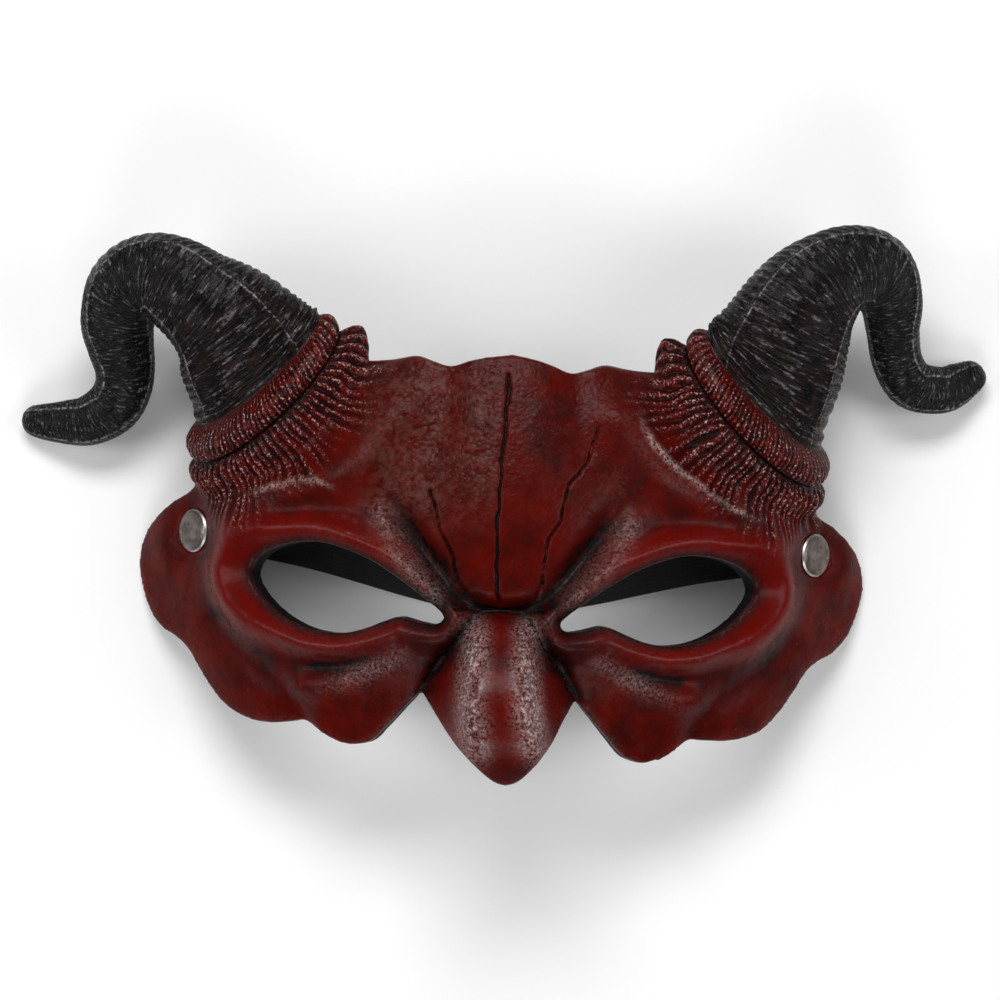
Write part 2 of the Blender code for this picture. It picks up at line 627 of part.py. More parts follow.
def strap_mesh():
    """Band of even width and thickness along the strap's line, pierced at both rivets."""
    line = np.array(strap_line())
    tangent = np.gradient(line, axis=0)
    tangent /= np.linalg.norm(tangent, axis=1)[:, None]
    bm = bmesh.new()
    loops = []
    for centre, along in zip(line, tangent):
        up = np.array((0.0, 1.0, 0.0))
        wide = up - along * up.dot(along)
        wide /= np.linalg.norm(wide)
        thin = np.cross(along, wide)
        corners = [(-1, -1), (1, -1), (1, 1), (-1, 1)]
        loops.append([bm.verts.new(centre + wide * a * STRAP_WIDTH / 2
                                   + thin * b * STRAP_THICKNESS / 2) for a, b in corners])
    for lower, upper in zip(loops, loops[1:]):
        for k in range(4):
            n = (k + 1) % 4
            bm.faces.new((lower[k], lower[n], upper[n], upper[k]))
    bm.faces.new(loops[0])
    bm.faces.new(loops[-1])
    bmesh.ops.recalc_face_normals(bm, faces=bm.faces)
    return mesh_from_bmesh("elastic_strap", bm)


def centre_on_origin(mask, collections):
    """Parent everything to one empty that puts the mask's middle over the origin."""
    graph = bpy.context.evaluated_depsgraph_get()
    corners = np.array(mask.evaluated_get(graph).bound_box)
    middle = (corners.min(axis=0) + corners.max(axis=0)) / 2
    root = bpy.data.objects.new("mask_middle", None)
    root.location = (-middle[0], -middle[1], 0)
    collections[0].objects.link(root)
    for collection in collections:
        for item in collection.objects:
            if item is not root:
                item.parent = root


def build():
    clear_scene()
    parts = make_collection("devil_half_mask")
    cutters = make_collection("cutters")
    foam = make_material("painted_foam", (0.20, 0.018, 0.012), 0.42)
    nickel = make_material("nickel", (0.56, 0.54, 0.50), 0.32, 1.0)
    elastic = make_material("elastic", (0.008, 0.008, 0.009), 0.85)

    bm = bmesh.new()
    bm.from_mesh(face_plate(parts, cutters))
    for side in (-1, 1):
        bm.from_mesh(mesh_from_bmesh("horn", horn_mesh(side)))
    mask = add_object("mask", mesh_from_bmesh("mask", bm), parts, foam)
    remesh = mask.modifiers.new("fuse", "REMESH")
    remesh.mode = "VOXEL"
    remesh.voxel_size = VOXEL
    smooth = mask.modifiers.new("soften", "SMOOTH")
    smooth.factor = 0.5
    smooth.iterations = 3
    thin = mask.modifiers.new("thin_out", "DECIMATE")
    thin.ratio = MASK_FACES_KEPT
    thin.use_collapse_triangulate = True

    ground = box_bmesh((-MASK_WIDTH, -MASK_WIDTH, -CUT_REACH), (MASK_WIDTH, MASK_WIDTH, 0))
    cut(mask, add_cutter("ground_cut", ground, cutters), "DIFFERENCE")
    for side in (-1, 1):
        for tool in seat_cutters(side, cutters):
            cut(mask, tool, "DIFFERENCE")

    strap = add_object("elastic_strap", strap_mesh(), parts, elastic)
    hole = RIVET_SHANK_DIAMETER / 2 + FIT_GAP
    for side, name in ((-1, "rivet_left"), (1, "rivet_right")):
        add_object(name, rivet_mesh(side), parts, nickel)
        bm = turned([(0.0, HOLE_REACH), (hole, HOLE_REACH), (hole, -HOLE_REACH),
                     (0.0, -HOLE_REACH)], 24)
        place_on_rivet(bm, side)
        cut(strap, add_cutter("strap_hole", bm, cutters), "DIFFERENCE")
    centre_on_origin(mask, (parts, cutters))


build()
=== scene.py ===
# Devil half face mask, lying face up and seen from straight above
import math

import bmesh
import bpy
import numpy as np
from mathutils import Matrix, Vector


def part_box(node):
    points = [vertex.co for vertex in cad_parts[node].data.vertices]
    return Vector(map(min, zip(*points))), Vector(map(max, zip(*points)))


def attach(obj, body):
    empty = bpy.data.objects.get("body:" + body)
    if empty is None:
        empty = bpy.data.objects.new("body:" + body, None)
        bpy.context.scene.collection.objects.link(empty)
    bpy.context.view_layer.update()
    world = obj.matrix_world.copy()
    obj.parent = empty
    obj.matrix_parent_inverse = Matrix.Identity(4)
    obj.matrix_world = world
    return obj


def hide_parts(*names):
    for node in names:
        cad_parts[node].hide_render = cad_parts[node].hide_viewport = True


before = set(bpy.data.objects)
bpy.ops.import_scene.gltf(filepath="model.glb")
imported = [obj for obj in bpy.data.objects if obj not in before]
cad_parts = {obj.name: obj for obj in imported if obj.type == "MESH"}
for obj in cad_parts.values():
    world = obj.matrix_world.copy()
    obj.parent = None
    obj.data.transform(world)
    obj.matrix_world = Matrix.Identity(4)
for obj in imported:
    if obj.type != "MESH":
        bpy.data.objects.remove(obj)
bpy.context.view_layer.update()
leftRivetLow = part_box("rivet_left")[0]
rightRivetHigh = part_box("rivet_right")[1]
print("frame loaded")

# Sizes in metres; those of the plain forms are the same as in the solids
plate = {
    "thickness": 0.0062,
    "bendRadius": 0.135,
    "bendReach": 0.098,
    "rimReach": 0.126,
    "foreheadSetback": 0.010,
    "cheekSetback": 0.012,
    "restTrim": 0.0018,
    "leftSpread": 0.012,
    "gridStep": 0.0008,
    "voxel": 0.00066,
    "mostTriangles": 192000,
    "innerThinned": 0.80,
    "seamPasses": 80,
}
relief = {
    "noseHeight": 0.028,
    "noseTipSkew": 0.003,
    "noseWall": 0.003,
    "noseRidge": 0.0010,
    "noseRidgeX": 0.0082,
    "noseFlat": 0.16,
    "foreheadSwell": 0.0030,
    "lidHeight": 0.0042,
    "lidCrest": 0.0048,
    "lidWidth": 0.0042,
    "lidFlare": 0.0035,
    "browHeight": 0.0042,
    "valleyDepth": 0.0046,
    "bagSwell": 0.0018,
    "templeSwell": 0.0022,
    "templeDip": 0.0014,
}
carving = {
    "creaseDepth": 0.0010,
    "creaseWidth": 0.00060,
    "crackDepth": 0.0009,
    "waver": 0.0005,
    "unevenness": 0.00018,
    "browRidge": 0.0009,
}
collar = {
    "turn": math.radians(39.5),
    "tilt": math.radians(26),
    "roll": math.radians(-20),
    "back": 0.0040,
    "half": 0.0405,
    "depth": 0.0268,
    "shift": -0.0055,
    "crease": -0.0090,
    "fadeOut": -0.0168,
    "lowerPitch": 0.0027,
    "upperPitch": 0.0022,
    "fluteDepth": 0.0010,
    "creaseCut": 0.0005,
}
hornLook = {
    "ringStep": 0.00047,
    "sides": 200,
    "ridge": 0.0010,
    "outerSeam": 0.70,
    "innerSeam": -0.98,
    "ribPitch": 0.0024,
    "ribDepth": 0.00045,
    "wrinkle": 0.00014,
    "wrinklePitch": 0.0016,
    "unevenness": 0.0004,
    "rootHalf": 0.0334,
    "rootDepth": 0.0220,
    "crowding": 0.42,
}
rivetSize = {
    "x": 0.1075,
    "y": -0.0002,
    "cap": 0.015,
    "dome": 0.0016,
    "rim": 0.0006,
    "seat": 0.0012,
    "shank": 0.004,
    "tail": 0.010,
    "tailThickness": 0.0012,
    "gap": 0.0003,
    "turnSteps": 64,
}
strapSize = {
    "width": 0.020,
    "thickness": 0.0012,
    "tail": 0.008,
    "rest": 0.0003,
    "droop": 0.018,
    "lift": 0.0019,
    "steps": 420,
    "across": 41,
    "ribs": 8,
}

bendLimit = math.asin(plate["bendReach"] / plate["bendRadius"])
rimDrop = (plate["bendRadius"] * (1 - math.cos(bendLimit))
           + (plate["rimReach"] - plate["bendReach"]) * math.tan(bendLimit))
crownHeight = rimDrop + plate["thickness"] * math.cos(bendLimit) - plate["restTrim"]
strapPlane = -plate["thickness"] - rivetSize["gap"]
tailPlane = strapPlane - strapSize["thickness"] - rivetSize["gap"]
middle = np.array(((leftRivetLow[0] + rightRivetHigh[0]) / 2,
                   (leftRivetLow[1] + rightRivetHigh[1]) / 2 - rivetSize["y"], 0.0))


def metres(points):
    # the lines below are written in millimetres
    return [tuple(round(value / 1000, 6) for value in point) for point in points]


halfOutline = metres([(0, 62.5), (6.5, 61.2), (13.5, 59.5), (20, 57.5), (26, 59), (31.5, 61),
    (36, 60.5), (41, 60), (50, 59), (60, 56), (73, 48), (88, 35), (100, 23), (108.5, 13.5), (115, 9),
    (120.5, 3), (124.5, -4), (126, -12), (124.5, -19.5), (121, -28), (115.5, -34), (110, -37),
    (105.5, -41), (102, -46.5), (97, -54), (91, -60), (84.5, -63), (77.5, -64), (70, -63.2),
    (66, -62.5), (62.5, -64), (56.5, -68.2), (51, -70.5), (46.5, -70.5), (41.5, -68.3), (37.5, -63),
    (34, -55.5), (31.2, -50.5), (28.8, -49), (26.2, -50), (22.2, -54), (18, -59.5), (13.8, -65.5),
    (9, -71.4), (4.4, -76.6), (1.8, -78.2), (0, -78.6)])
eyeOutline = metres([(19, -25), (21.5, -27.6), (28, -26.8), (33.5, -25.6), (39, -27.6), (46, -30.6),
    (53, -32.1), (60, -32), (66.5, -30.6), (73.8, -27.3), (80.2, -22.6), (84.5, -17.6),
    (85.8, -13.6), (84, -9.5), (80, -6), (74, -3.6), (66.7, -2.3), (59.8, -2.4), (53, -4),
    (44.6, -7.2), (36.3, -11.8), (28.9, -16.7), (23, -21)])
panelValley = metres([(42.5, 27), (40, 19), (36, 10), (30, 1), (23.5, -9), (18.5, -16), (12.5, -20),
                      (6, -21.6), (0, -21.9)])
innerBrow = metres([(41.5, 8), (35, -2), (28.5, -11), (22.5, -17.2)])
brow = metres([(91, 6), (81, 13), (70, 17.5), (60, 19.5), (51, 24.5), (43, 33), (38, 43)])
underLid = metres([(98, -31), (90.5, -39), (81, -46.5), (72, -51)])
underLidInner = metres([(68, -42.5), (57, -42.8), (46.5, -40.8), (38.5, -36)])
bagRidge = metres([(67, -51.5), (60, -50.8), (50, -47.6), (40, -42.4), (33, -38.5)])
notchValley = metres([(66, -64), (68, -56)])
topValley = metres([(20, 62), (21.5, 48), (23.5, 33)])
noseGroove = metres([(0, -22.2), (7.2, -22.6), (11.8, -27.5), (15.1, -34.2), (19.1, -38.2),
                     (22.7, -44.2), (25.5, -50)])
noseY = [-0.084, -0.080, -0.070, -0.060, -0.050, -0.040, -0.030, -0.0225]
noseRise = [0.76, 0.86, 1.0, 1.0, 0.90, 0.68, 0.38, 0.0]
noseHalf = [0.031, 0.031, 0.030, 0.0285, 0.026, 0.0205, 0.0140, 0.0085]

outlineShifts = {
    # spot, shift and reach of each place where one side's edge leaves the shared outline
    -1: [((0.0520, -0.0690), (0.0000, 0.0014), 0.014), ((0.1120, -0.0370), (0.0010, -0.0004), 0.020),
         ((0.0200, 0.0600), (0.0000, 0.0009), 0.020)],
    1: [((0.0490, -0.0690), (0.0008, -0.0013), 0.014), ((0.0640, -0.0640), (0.0000, -0.0010), 0.008),
        ((0.0340, -0.0550), (0.0012, 0.0000), 0.010), ((0.0050, 0.0600), (0.0000, 0.0005), 0.010),
        ((0.0120, -0.0700), (-0.0009, 0.0000), 0.012)],
}
eyeSet = {"middle": (0.0520, -0.0160), "turn": {-1: 0.0, 1: 0.027}, "shift": {-1: 0.0004, 1: 0.0003}}
lineRelief = [
    (innerBrow, 0.0022, 0.0040), (underLid, -0.0016, 0.0048), (underLidInner, -0.0014, 0.0038),
    (bagRidge, 0.0012, 0.0040), (notchValley, -0.0020, 0.0048), (topValley, -0.0016, 0.0060),
    (noseGroove, -0.0022, 0.0024),
]
browGlints = {
    -1: metres([(-86.8, 11.9), (-78.3, 15.6), (-68.1, 18.8), (-61.4, 18.4), (-54.6, 16.6)]),
    1: metres([(86.1, 10.5), (81, 11.9), (74.2, 14.6), (67.5, 18.7), (62.4, 22), (55.6, 26.5),
        (47.1, 34.9), (43.7, 40), (41.5, 49)]),
}
seamLine = metres([(40, 57), (46, 48), (53, 40), (63, 31), (75, 22.5), (86, 16), (98, 11.5)])

# Thin cracks, each side its own: line and share of the depth
creaseLines = [
    (metres([(-0.8, 56), (-1.3, 38), (-2.2, 20), (-2.6, 5), (-2.2, -8), (-1.6, -16),
             (-1, -21.9)]), 1.0),
    (metres([(-25.6, 17.5), (-22.3, 7), (-19.7, 0.4), (-16.4, -6.2), (-15.1, -12.1)]), 1.0),
    (metres([(-15.1, -12.1), (-12.4, -16.7), (-8.2, -20.6)]), 0.5),
    (metres([(29, 39.4), (26.3, 28.4), (20.4, 20.2), (18, 8.7), (14.1, 2.1), (13.1, -6.1),
             (13.1, -12.7)]), 1.0),
    (metres([(13.1, -12.7), (11.4, -19.3), (7.5, -21.4)]), 0.5),
]
crackLines = [
    (metres([(-6, -22.2), (-9, -23.5), (-12.4, -29), (-15, -33), (-17.8, -36.2), (-20, -37.5),
             (-22.8, -42), (-24.6, -46.5)]), 1.0),
    (metres([(6, -22.2), (9.2, -24), (12.4, -30), (14.5, -34.5), (17.6, -37.5), (20.5, -41),
             (22.8, -47)]), 1.0),
    (metres([(-15.5, -21.8), (-7, -21.9), (0, -22.1), (7, -21.9), (14, -21.6)]), 0.9),
]

# station, half width, front depth, sag of the front, sideways shift
collarRings = metres([(-32, 24, 6, 11, -4), (-26, 31, 16, 11, -5), (-20, 36.2, 23.5, 10.5, -6),
    (-16.5, 40.8, 26.5, 9, -5.8), (-14, 41.4, 27.5, 6.2, -5.4), (-12.4, 41, 27.4, 3.6, -5.2),
    (-11, 39.4, 26.6, 1.6, -5.4), (-9.8, 36.8, 25, 0.5, -5.2), (-9, 34, 22.6, 0, -4.8),
    (-8, 35, 24, 0, -4.8), (-6.2, 35.4, 24.6, 0, -4.4), (-4, 35.2, 23.6, 0, -3.6),
    (-2.2, 34, 21.2, 0, -2.8), (-1, 31.8, 18.2, 0, -1.8), (-0.2, 29.1, 15.2, 0, -0.6),
    (3, 28.4, 14.6, 0, 0)])
hornLines = {
    -1: metres([(85.6, 56.3, 41, 28.4), (96, 70.2, 47, 21.4), (107.4, 79, 47.5, 16.4),
        (117.9, 85.3, 45, 13.9), (126.4, 85.2, 41.5, 13.4), (132.3, 80.3, 38, 13),
        (135, 70.6, 31.5, 12.2), (134.3, 63, 27, 10.8), (132.9, 54.7, 22.5, 9.7),
        (133.8, 47.5, 18.5, 9.2), (137.5, 41.3, 15, 8.9), (145.3, 36.6, 11.2, 8.2),
        (153.3, 35.6, 7.6, 7.3), (163.2, 35.7, 4.6, 5.8), (169.8, 36.9, 4, 4.3)]),
    1: metres([(85.6, 56.3, 41, 28.4), (92.2, 74.6, 47, 21.8), (98.8, 86.8, 47.5, 18.3),
        (107.9, 95.2, 45, 14.9), (117.7, 98.2, 41, 13.4), (124.2, 95.8, 36.5, 12.3),
        (128.8, 87.6, 30, 10.4), (130.4, 77.6, 24.5, 8.7), (132.8, 67.9, 19.5, 8.3),
        (138.6, 60.3, 15, 8.4), (149, 58.7, 9.4, 7.8), (156.2, 61.4, 5.5, 7),
        (165, 66.8, 3.8, 4.4)]),
}


# Camera: straight down on the face, turned a little so that the mask leans as it does in the photo
cameraSet = {"height": 1.2, "focal": 3.422, "sensor": 36.0, "turn": math.radians(2.3),
             "axisX": -0.00211, "axisY": 0.01455}


def addCamera():
    data = bpy.data.cameras.new("viewCamera")
    data.sensor_width = cameraSet["sensor"]
    data.lens = cameraSet["sensor"] * cameraSet["focal"]
    data.clip_end = 20
    camera = bpy.data.objects.new("viewCamera", data)
    bpy.context.scene.collection.objects.link(camera)
    camera.location = (middle[0] + cameraSet["axisX"], middle[1] + cameraSet["axisY"],
                       cameraSet["height"])
    camera.rotation_euler = (0, 0, cameraSet["turn"])
    bpy.context.scene.camera = camera


addCamera()
print("camera set")


# Small helpers
def smoothCurve(points, closed=False, perSpan=6):
    knots = np.array(points, dtype=float)
    count = len(knots)
    shares = np.arange(perSpan) / perSpan
    rows = []
    for index in range(count if closed else count - 1):
        if closed:
            a, b, c, d = (knots[(index + k) % count] for k in (-1, 0, 1, 2))
        else:
            a, b = knots[max(index - 1, 0)], knots[index]
            c, d = knots[index + 1], knots[min(index + 2, count - 1)]
        for t in shares:
            rows.append(0.5 * (2 * b + (c - a) * t + (2 * a - 5 * b + 4 * c - d) * t ** 2
                               + (3 * b - a - 3 * c + d) * t ** 3))
    if not closed:
        rows.append(knots[-1])
    return np.array(rows)


def distanceTo(x, y, line, closed=False):
    best = np.full(x.shape, 1e9)
    share = np.zeros(x.shape)
    ends = list(range(len(line) - 1)) + ([len(line) - 1] if closed else [])
    for index in ends:
        ax, ay = line[index]
        bx, by = line[(index + 1) % len(line)]
        dx, dy = bx - ax, by - ay
        t = np.clip(((x - ax) * dx + (y - ay) * dy) / (dx * dx + dy * dy), 0, 1)
        gap = np.hypot(x - ax - t * dx, y - ay - t * dy)
        nearer = gap < best
        best = np.where(nearer, gap, best)
        share = np.where(nearer, (index + t) / len(ends), share)
    return best, share


def bell(distance, width):
    return np.exp(-(distance / width) ** 2)


def runOf(line):
    # distance run along a line, at each of its points
    return np.concatenate(([0], np.cumsum(np.linalg.norm(np.diff(line, axis=0), axis=1))))


def unit(vectors):
    return vectors / np.linalg.norm(vectors, axis=-1, keepdims=True)


def columnsAt(stations, run, line):
    return np.column_stack([np.interp(stations, run, line[:, k]) for k in range(3)])


def fade(value, low, high):
    t = np.clip((value - low) / (high - low), 0, 1)
    return t * t * (3 - 2 * t)


hashPrimes = {"x": 73856093, "y": 19349663, "z": 83492791, "seed": 2654435761, "mix": 1274126177}


def latticeNoise(points, size, seed=0):
    # smooth noise between -1 and 1 on a grid of the given cell size
    cells = np.asarray(points) / size
    corner = np.floor(cells).astype(np.int64)
    part = cells - corner
    part = part * part * (3 - 2 * part)
    total = np.zeros(len(cells))
    for ox in (0, 1):
        for oy in (0, 1):
            for oz in (0, 1):
                key = ((corner[:, 0] + ox) * hashPrimes["x"]) ^ ((corner[:, 1] + oy) * hashPrimes["y"])
                key = key ^ ((corner[:, 2] + oz) * hashPrimes["z"]) ^ (seed * hashPrimes["seed"])
                key = (key ^ (key >> 13)) * hashPrimes["mix"] & 0xFFFFFFFF
                value = ((key ^ (key >> 16)) & 0xFFFF) / 32767.5 - 1
                weight = (np.where(ox, part[:, 0], 1 - part[:, 0])
                          * np.where(oy, part[:, 1], 1 - part[:, 1])
                          * np.where(oz, part[:, 2], 1 - part[:, 2]))
                total += value * weight
    return total


def meshFrom(name, bm):
    mesh = bpy.data.meshes.new(name)
    bm.to_mesh(mesh)
    bm.free()
    return mesh


def addPiece(name, mesh):
    piece = bpy.data.objects.new(name, mesh)
    bpy.context.scene.collection.objects.link(piece)
    return piece


def readFlat(items, key):
    flat = np.empty(len(items) * 3)
    items.foreach_get(key, flat)
    return flat.reshape(-1, 3)


def evaluated(piece):
    graph = bpy.context.evaluated_depsgraph_get()
    mesh = bpy.data.meshes.new_from_object(piece.evaluated_get(graph))
    bpy.data.objects.remove(piece)
    return mesh


def pointsOf(mesh):
    return readFlat(mesh.vertices, "co")


def normalsOf(mesh):
    return readFlat(mesh.vertices, "normal")


def setPoints(mesh, points):
    mesh.vertices.foreach_set("co", np.ascontiguousarray(points).ravel())
    mesh.update()


def setMask(mesh, name, values):
    setValue(mesh, name, np.clip(values, 0, 1))


def setValue(mesh, name, values):
    layer = mesh.attributes.new(name, "FLOAT", "POINT")
    layer.data.foreach_set("value", np.asarray(values).astype(np.float32))


def eyeLineOf(side):
    x, y = (smoothCurve(eyeOutline, closed=True, perSpan=4) - eyeSet["middle"]).T
    turn = eyeSet["turn"][side]
    turned = np.column_stack((x * math.cos(turn) - y * math.sin(turn),
                              x * math.sin(turn) + y * math.cos(turn) + eyeSet["shift"][side]))
    return turned + eyeSet["middle"]


eyeLines = {side: eyeLineOf(side) for side in (-1, 1)}
noseRows = smoothCurve(list(zip(noseY, noseRise, noseHalf)), perSpan=8)


def edgesOf(mesh):
    ends = np.empty(len(mesh.edges) * 2, dtype=np.int64)
    mesh.edges.foreach_get("vertices", ends)
    return ends.reshape(-1, 2)


def neighbours(mesh):
    # both ends of every edge, and a function that averages values over the edges at each point
    size = len(mesh.vertices)
    a, b = edgesOf(mesh).T
    count = np.maximum(np.bincount(a, minlength=size) + np.bincount(b, minlength=size), 1)
    return a, b, lambda forA, forB: (np.bincount(a, forA, size) + np.bincount(b, forB, size)) / count


def curvatureOf(mesh, spreads):
    # positive on ridges, negative in hollows, averaged over the neighbours a few times
    points, normals = pointsOf(mesh), normalsOf(mesh)
    a, b, average = neighbours(mesh)
    step = points[b] - points[a]
    bent = ((normals[b] - normals[a]) * step).sum(axis=1) / np.maximum((step ** 2).sum(axis=1), 1e-12)
    curve = average(bent, bent)
    for _ in range(spreads):
        curve = 0.5 * curve + 0.5 * average(curve[b], curve[a])
    return curve


def rolledGrid(name, rings, columns=None, notes=None):
    # a grid rolled up into a tube through the given rings, its seam merged and its ends filled
    rings = np.asarray(rings)
    rows, sides = rings.shape[0], rings.shape[1]
    bm = bmesh.new()
    bmesh.ops.create_grid(bm, x_segments=rows - 1, y_segments=sides, size=1.0)
    mesh = meshFrom(name, bm)
    flat = pointsOf(mesh)
    row = np.rint((flat[:, 0] + 1) / 2 * (rows - 1)).astype(int)
    side = np.rint((flat[:, 1] + 1) / 2 * sides).astype(int) % sides
    setPoints(mesh, rings[row, side])
    for key, column in (columns or {}).items():
        values = np.asarray(notes)[row, side]
        if key == "spot":
            layer = mesh.attributes.new(key, "FLOAT_VECTOR", "POINT")
            layer.data.foreach_set("vector", values[:, column:column + 3].astype(np.float32).ravel())
        else:
            setValue(mesh, key, values[:, column])
    bm = bmesh.new()
    bm.from_mesh(mesh)
    bmesh.ops.remove_doubles(bm, verts=bm.verts, dist=0.000001)
    bmesh.ops.holes_fill(bm, edges=[edge for edge in bm.edges if edge.is_boundary])
    bmesh.ops.recalc_face_normals(bm, faces=bm.faces)
    bpy.data.meshes.remove(mesh)
    mesh = meshFrom(name, bm)
    mesh.shade_smooth()
    return mesh


def finishPiece(name, mesh, material, node, lowest=0.0):
    setPoints(mesh, np.maximum(pointsOf(mesh), (-1, -1, lowest)) + middle)
    mesh.materials.clear()
    mesh.materials.append(material)
    piece = addPiece(name, mesh)
    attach(piece, "root")
    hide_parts(node)
    print(name, "done:", len(mesh.polygons), "faces")
    return piece


# The bent plate: u runs across the face, w stands out of it
def unroll(x):
    radius = plate["bendRadius"]
    angle = np.arcsin(np.clip(x / radius, -math.sin(bendLimit), math.sin(bendLimit)))
    return angle * radius + (x - radius * np.sin(angle)) / np.cos(angle)


def setbackAt(y):
    return (plate["foreheadSetback"] * (np.maximum(y - 0.005, 0) / 0.057) ** 2
            + plate["cheekSetback"] * (np.maximum(-0.015 - y, 0) / 0.055) ** 2)


def bend(u, y, w):
    radius = plate["bendRadius"]
    angle = np.clip(u / radius, -bendLimit, bendLimit)
    over = u - angle * radius
    x = radius * np.sin(angle) + over * np.cos(angle) + w * np.sin(angle)
    drop = radius * (1 - np.cos(angle)) + over * np.sin(angle)
    return x, crownHeight - drop - setbackAt(y) + w * np.cos(angle)


def unbend(points):
    # place across the plate, and height out of it, of points in space
    radius = plate["bendRadius"]
    x, y, z = points.T
    side = np.where(x < 0, -1.0, 1.0)
    lift = z + setbackAt(y) - (crownHeight - radius)
    angle = np.arctan2(np.abs(x), lift)
    curved = angle <= bendLimit
    overX = np.abs(x) - radius * math.sin(bendLimit)
    overZ = lift - radius * math.cos(bendLimit)
    over = overX * math.cos(bendLimit) - overZ * math.sin(bendLimit)
    height = np.where(curved, np.hypot(x, lift) - radius,
                      overX * math.sin(bendLimit) + overZ * math.cos(bendLimit))
    across = np.where(curved, radius * np.sin(angle),
                      radius * math.sin(bendLimit) + over * math.cos(bendLimit))
    return across * side, height


# Relief of the face
def noseSkew(x, y):
    return relief["noseTipSkew"] * fade(-y, 0.045, 0.080) * (1 - fade(np.abs(x), 0.027, 0.033))


def noseHeightAt(x, y):
    rise = np.interp(y, noseRows[:, 0], noseRows[:, 1]) * relief["noseHeight"]
    half = np.interp(y, noseRows[:, 0], noseRows[:, 2])
    side = np.abs(x - noseSkew(x, y))
    ridge = relief["noseRidge"] * bell(side - relief["noseRidgeX"], 0.0036) * fade(-y, 0.024, 0.034)
    body = rise * (1 - fade(side, relief["noseFlat"] * half, 1.04 * half))
    return body + ridge * fade(rise, 0.0, 0.010)


def formHeight(x, y):
    side = np.abs(x)
    height = relief["foreheadSwell"] * bell(side, 0.026) * fade(y, -0.020, 0.012)
    height = height + relief["browHeight"] * bell(distanceTo(side, y, brow)[0], 0.0085)
    return height + relief["bagSwell"] * bell(distanceTo(side, y, bagRidge)[0], 0.0075)


def lidShape(x, y):
    side = np.abs(x)
    outer = fade(side, 0.070, 0.092)
    gap = np.where(x < 0, distanceTo(side, y, eyeLines[-1], closed=True)[0],
                   distanceTo(side, y, eyeLines[1], closed=True)[0])
    flare = relief["lidFlare"] * outer
    return gap, relief["lidCrest"] + flare, relief["lidWidth"] + 0.4 * flare


def carvedHeight(x, y):
    side = np.abs(x)
    lidGap, crest, width = lidShape(x, y)
    height = relief["lidHeight"] * bell(lidGap - crest, width)
    valleyGap, along = distanceTo(side, y, panelValley)
    depth = relief["valleyDepth"] * (0.30 + 0.70 * fade(along, 0.10, 0.45))
    depth = depth * (1 - 0.25 * fade(along, 0.75, 1))
    height = height - depth * bell(valleyGap, 0.0052 - 0.0020 * along)
    for line, rise, reach in lineRelief:
        gap, along = distanceTo(side, y, line)
        share = 1.0
        if line is underLidInner:
            share = 0.2 + 0.8 * fade(along, 0.0, 0.3) * (1 - fade(along, 0.7, 1.0))
        height = height + rise * bell(gap, reach) * share
    swell = np.hypot(side - rivetSize["x"] - 0.010, (y - rivetSize["y"] + 0.004) / 1.3)
    dip = np.hypot((side - rivetSize["x"]) / 0.72, y - rivetSize["y"])
    return height + relief["templeSwell"] * bell(swell, 0.0065) - relief["templeDip"] * bell(dip, 0.0095)


def frontHeight(x, y):
    return formHeight(x, y) + carvedHeight(x, y) + noseHeightAt(x, y)


def outlineOf(side):
    line = smoothCurve(halfOutline, perSpan=4)
    for spot, shift, reach in outlineShifts[side]:
        line = line + np.outer(bell(np.hypot(*(line - spot).T), reach), shift)
    line[:, 0] *= 1 + (plate["leftSpread"] if side < 0 else 0)
    return [(unroll(side * x + noseSkew(x, y)), y) for x, y in line]


def raiseSlab(bm, faces, height):
    lifted = bmesh.ops.extrude_face_region(bm, geom=faces)
    top = [v for v in lifted["geom"] if isinstance(v, bmesh.types.BMVert)]
    bmesh.ops.translate(bm, verts=top, vec=(0, 0, height))
    bmesh.ops.recalc_face_normals(bm, faces=bm.faces)


def prism(name, points, depth):
    bm = bmesh.new()
    ring = [bm.verts.new((u, y, -depth)) for u, y in points]
    raiseSlab(bm, bmesh.ops.contextual_create(bm, geom=ring)["faces"], 2 * depth)
    return addPiece(name, meshFrom(name, bm))


def cutWith(piece, tool, operation):
    modifier = piece.modifiers.new(tool.name, "BOOLEAN")
    modifier.operation = operation
    modifier.object = tool
    modifier.solver = "MANIFOLD"


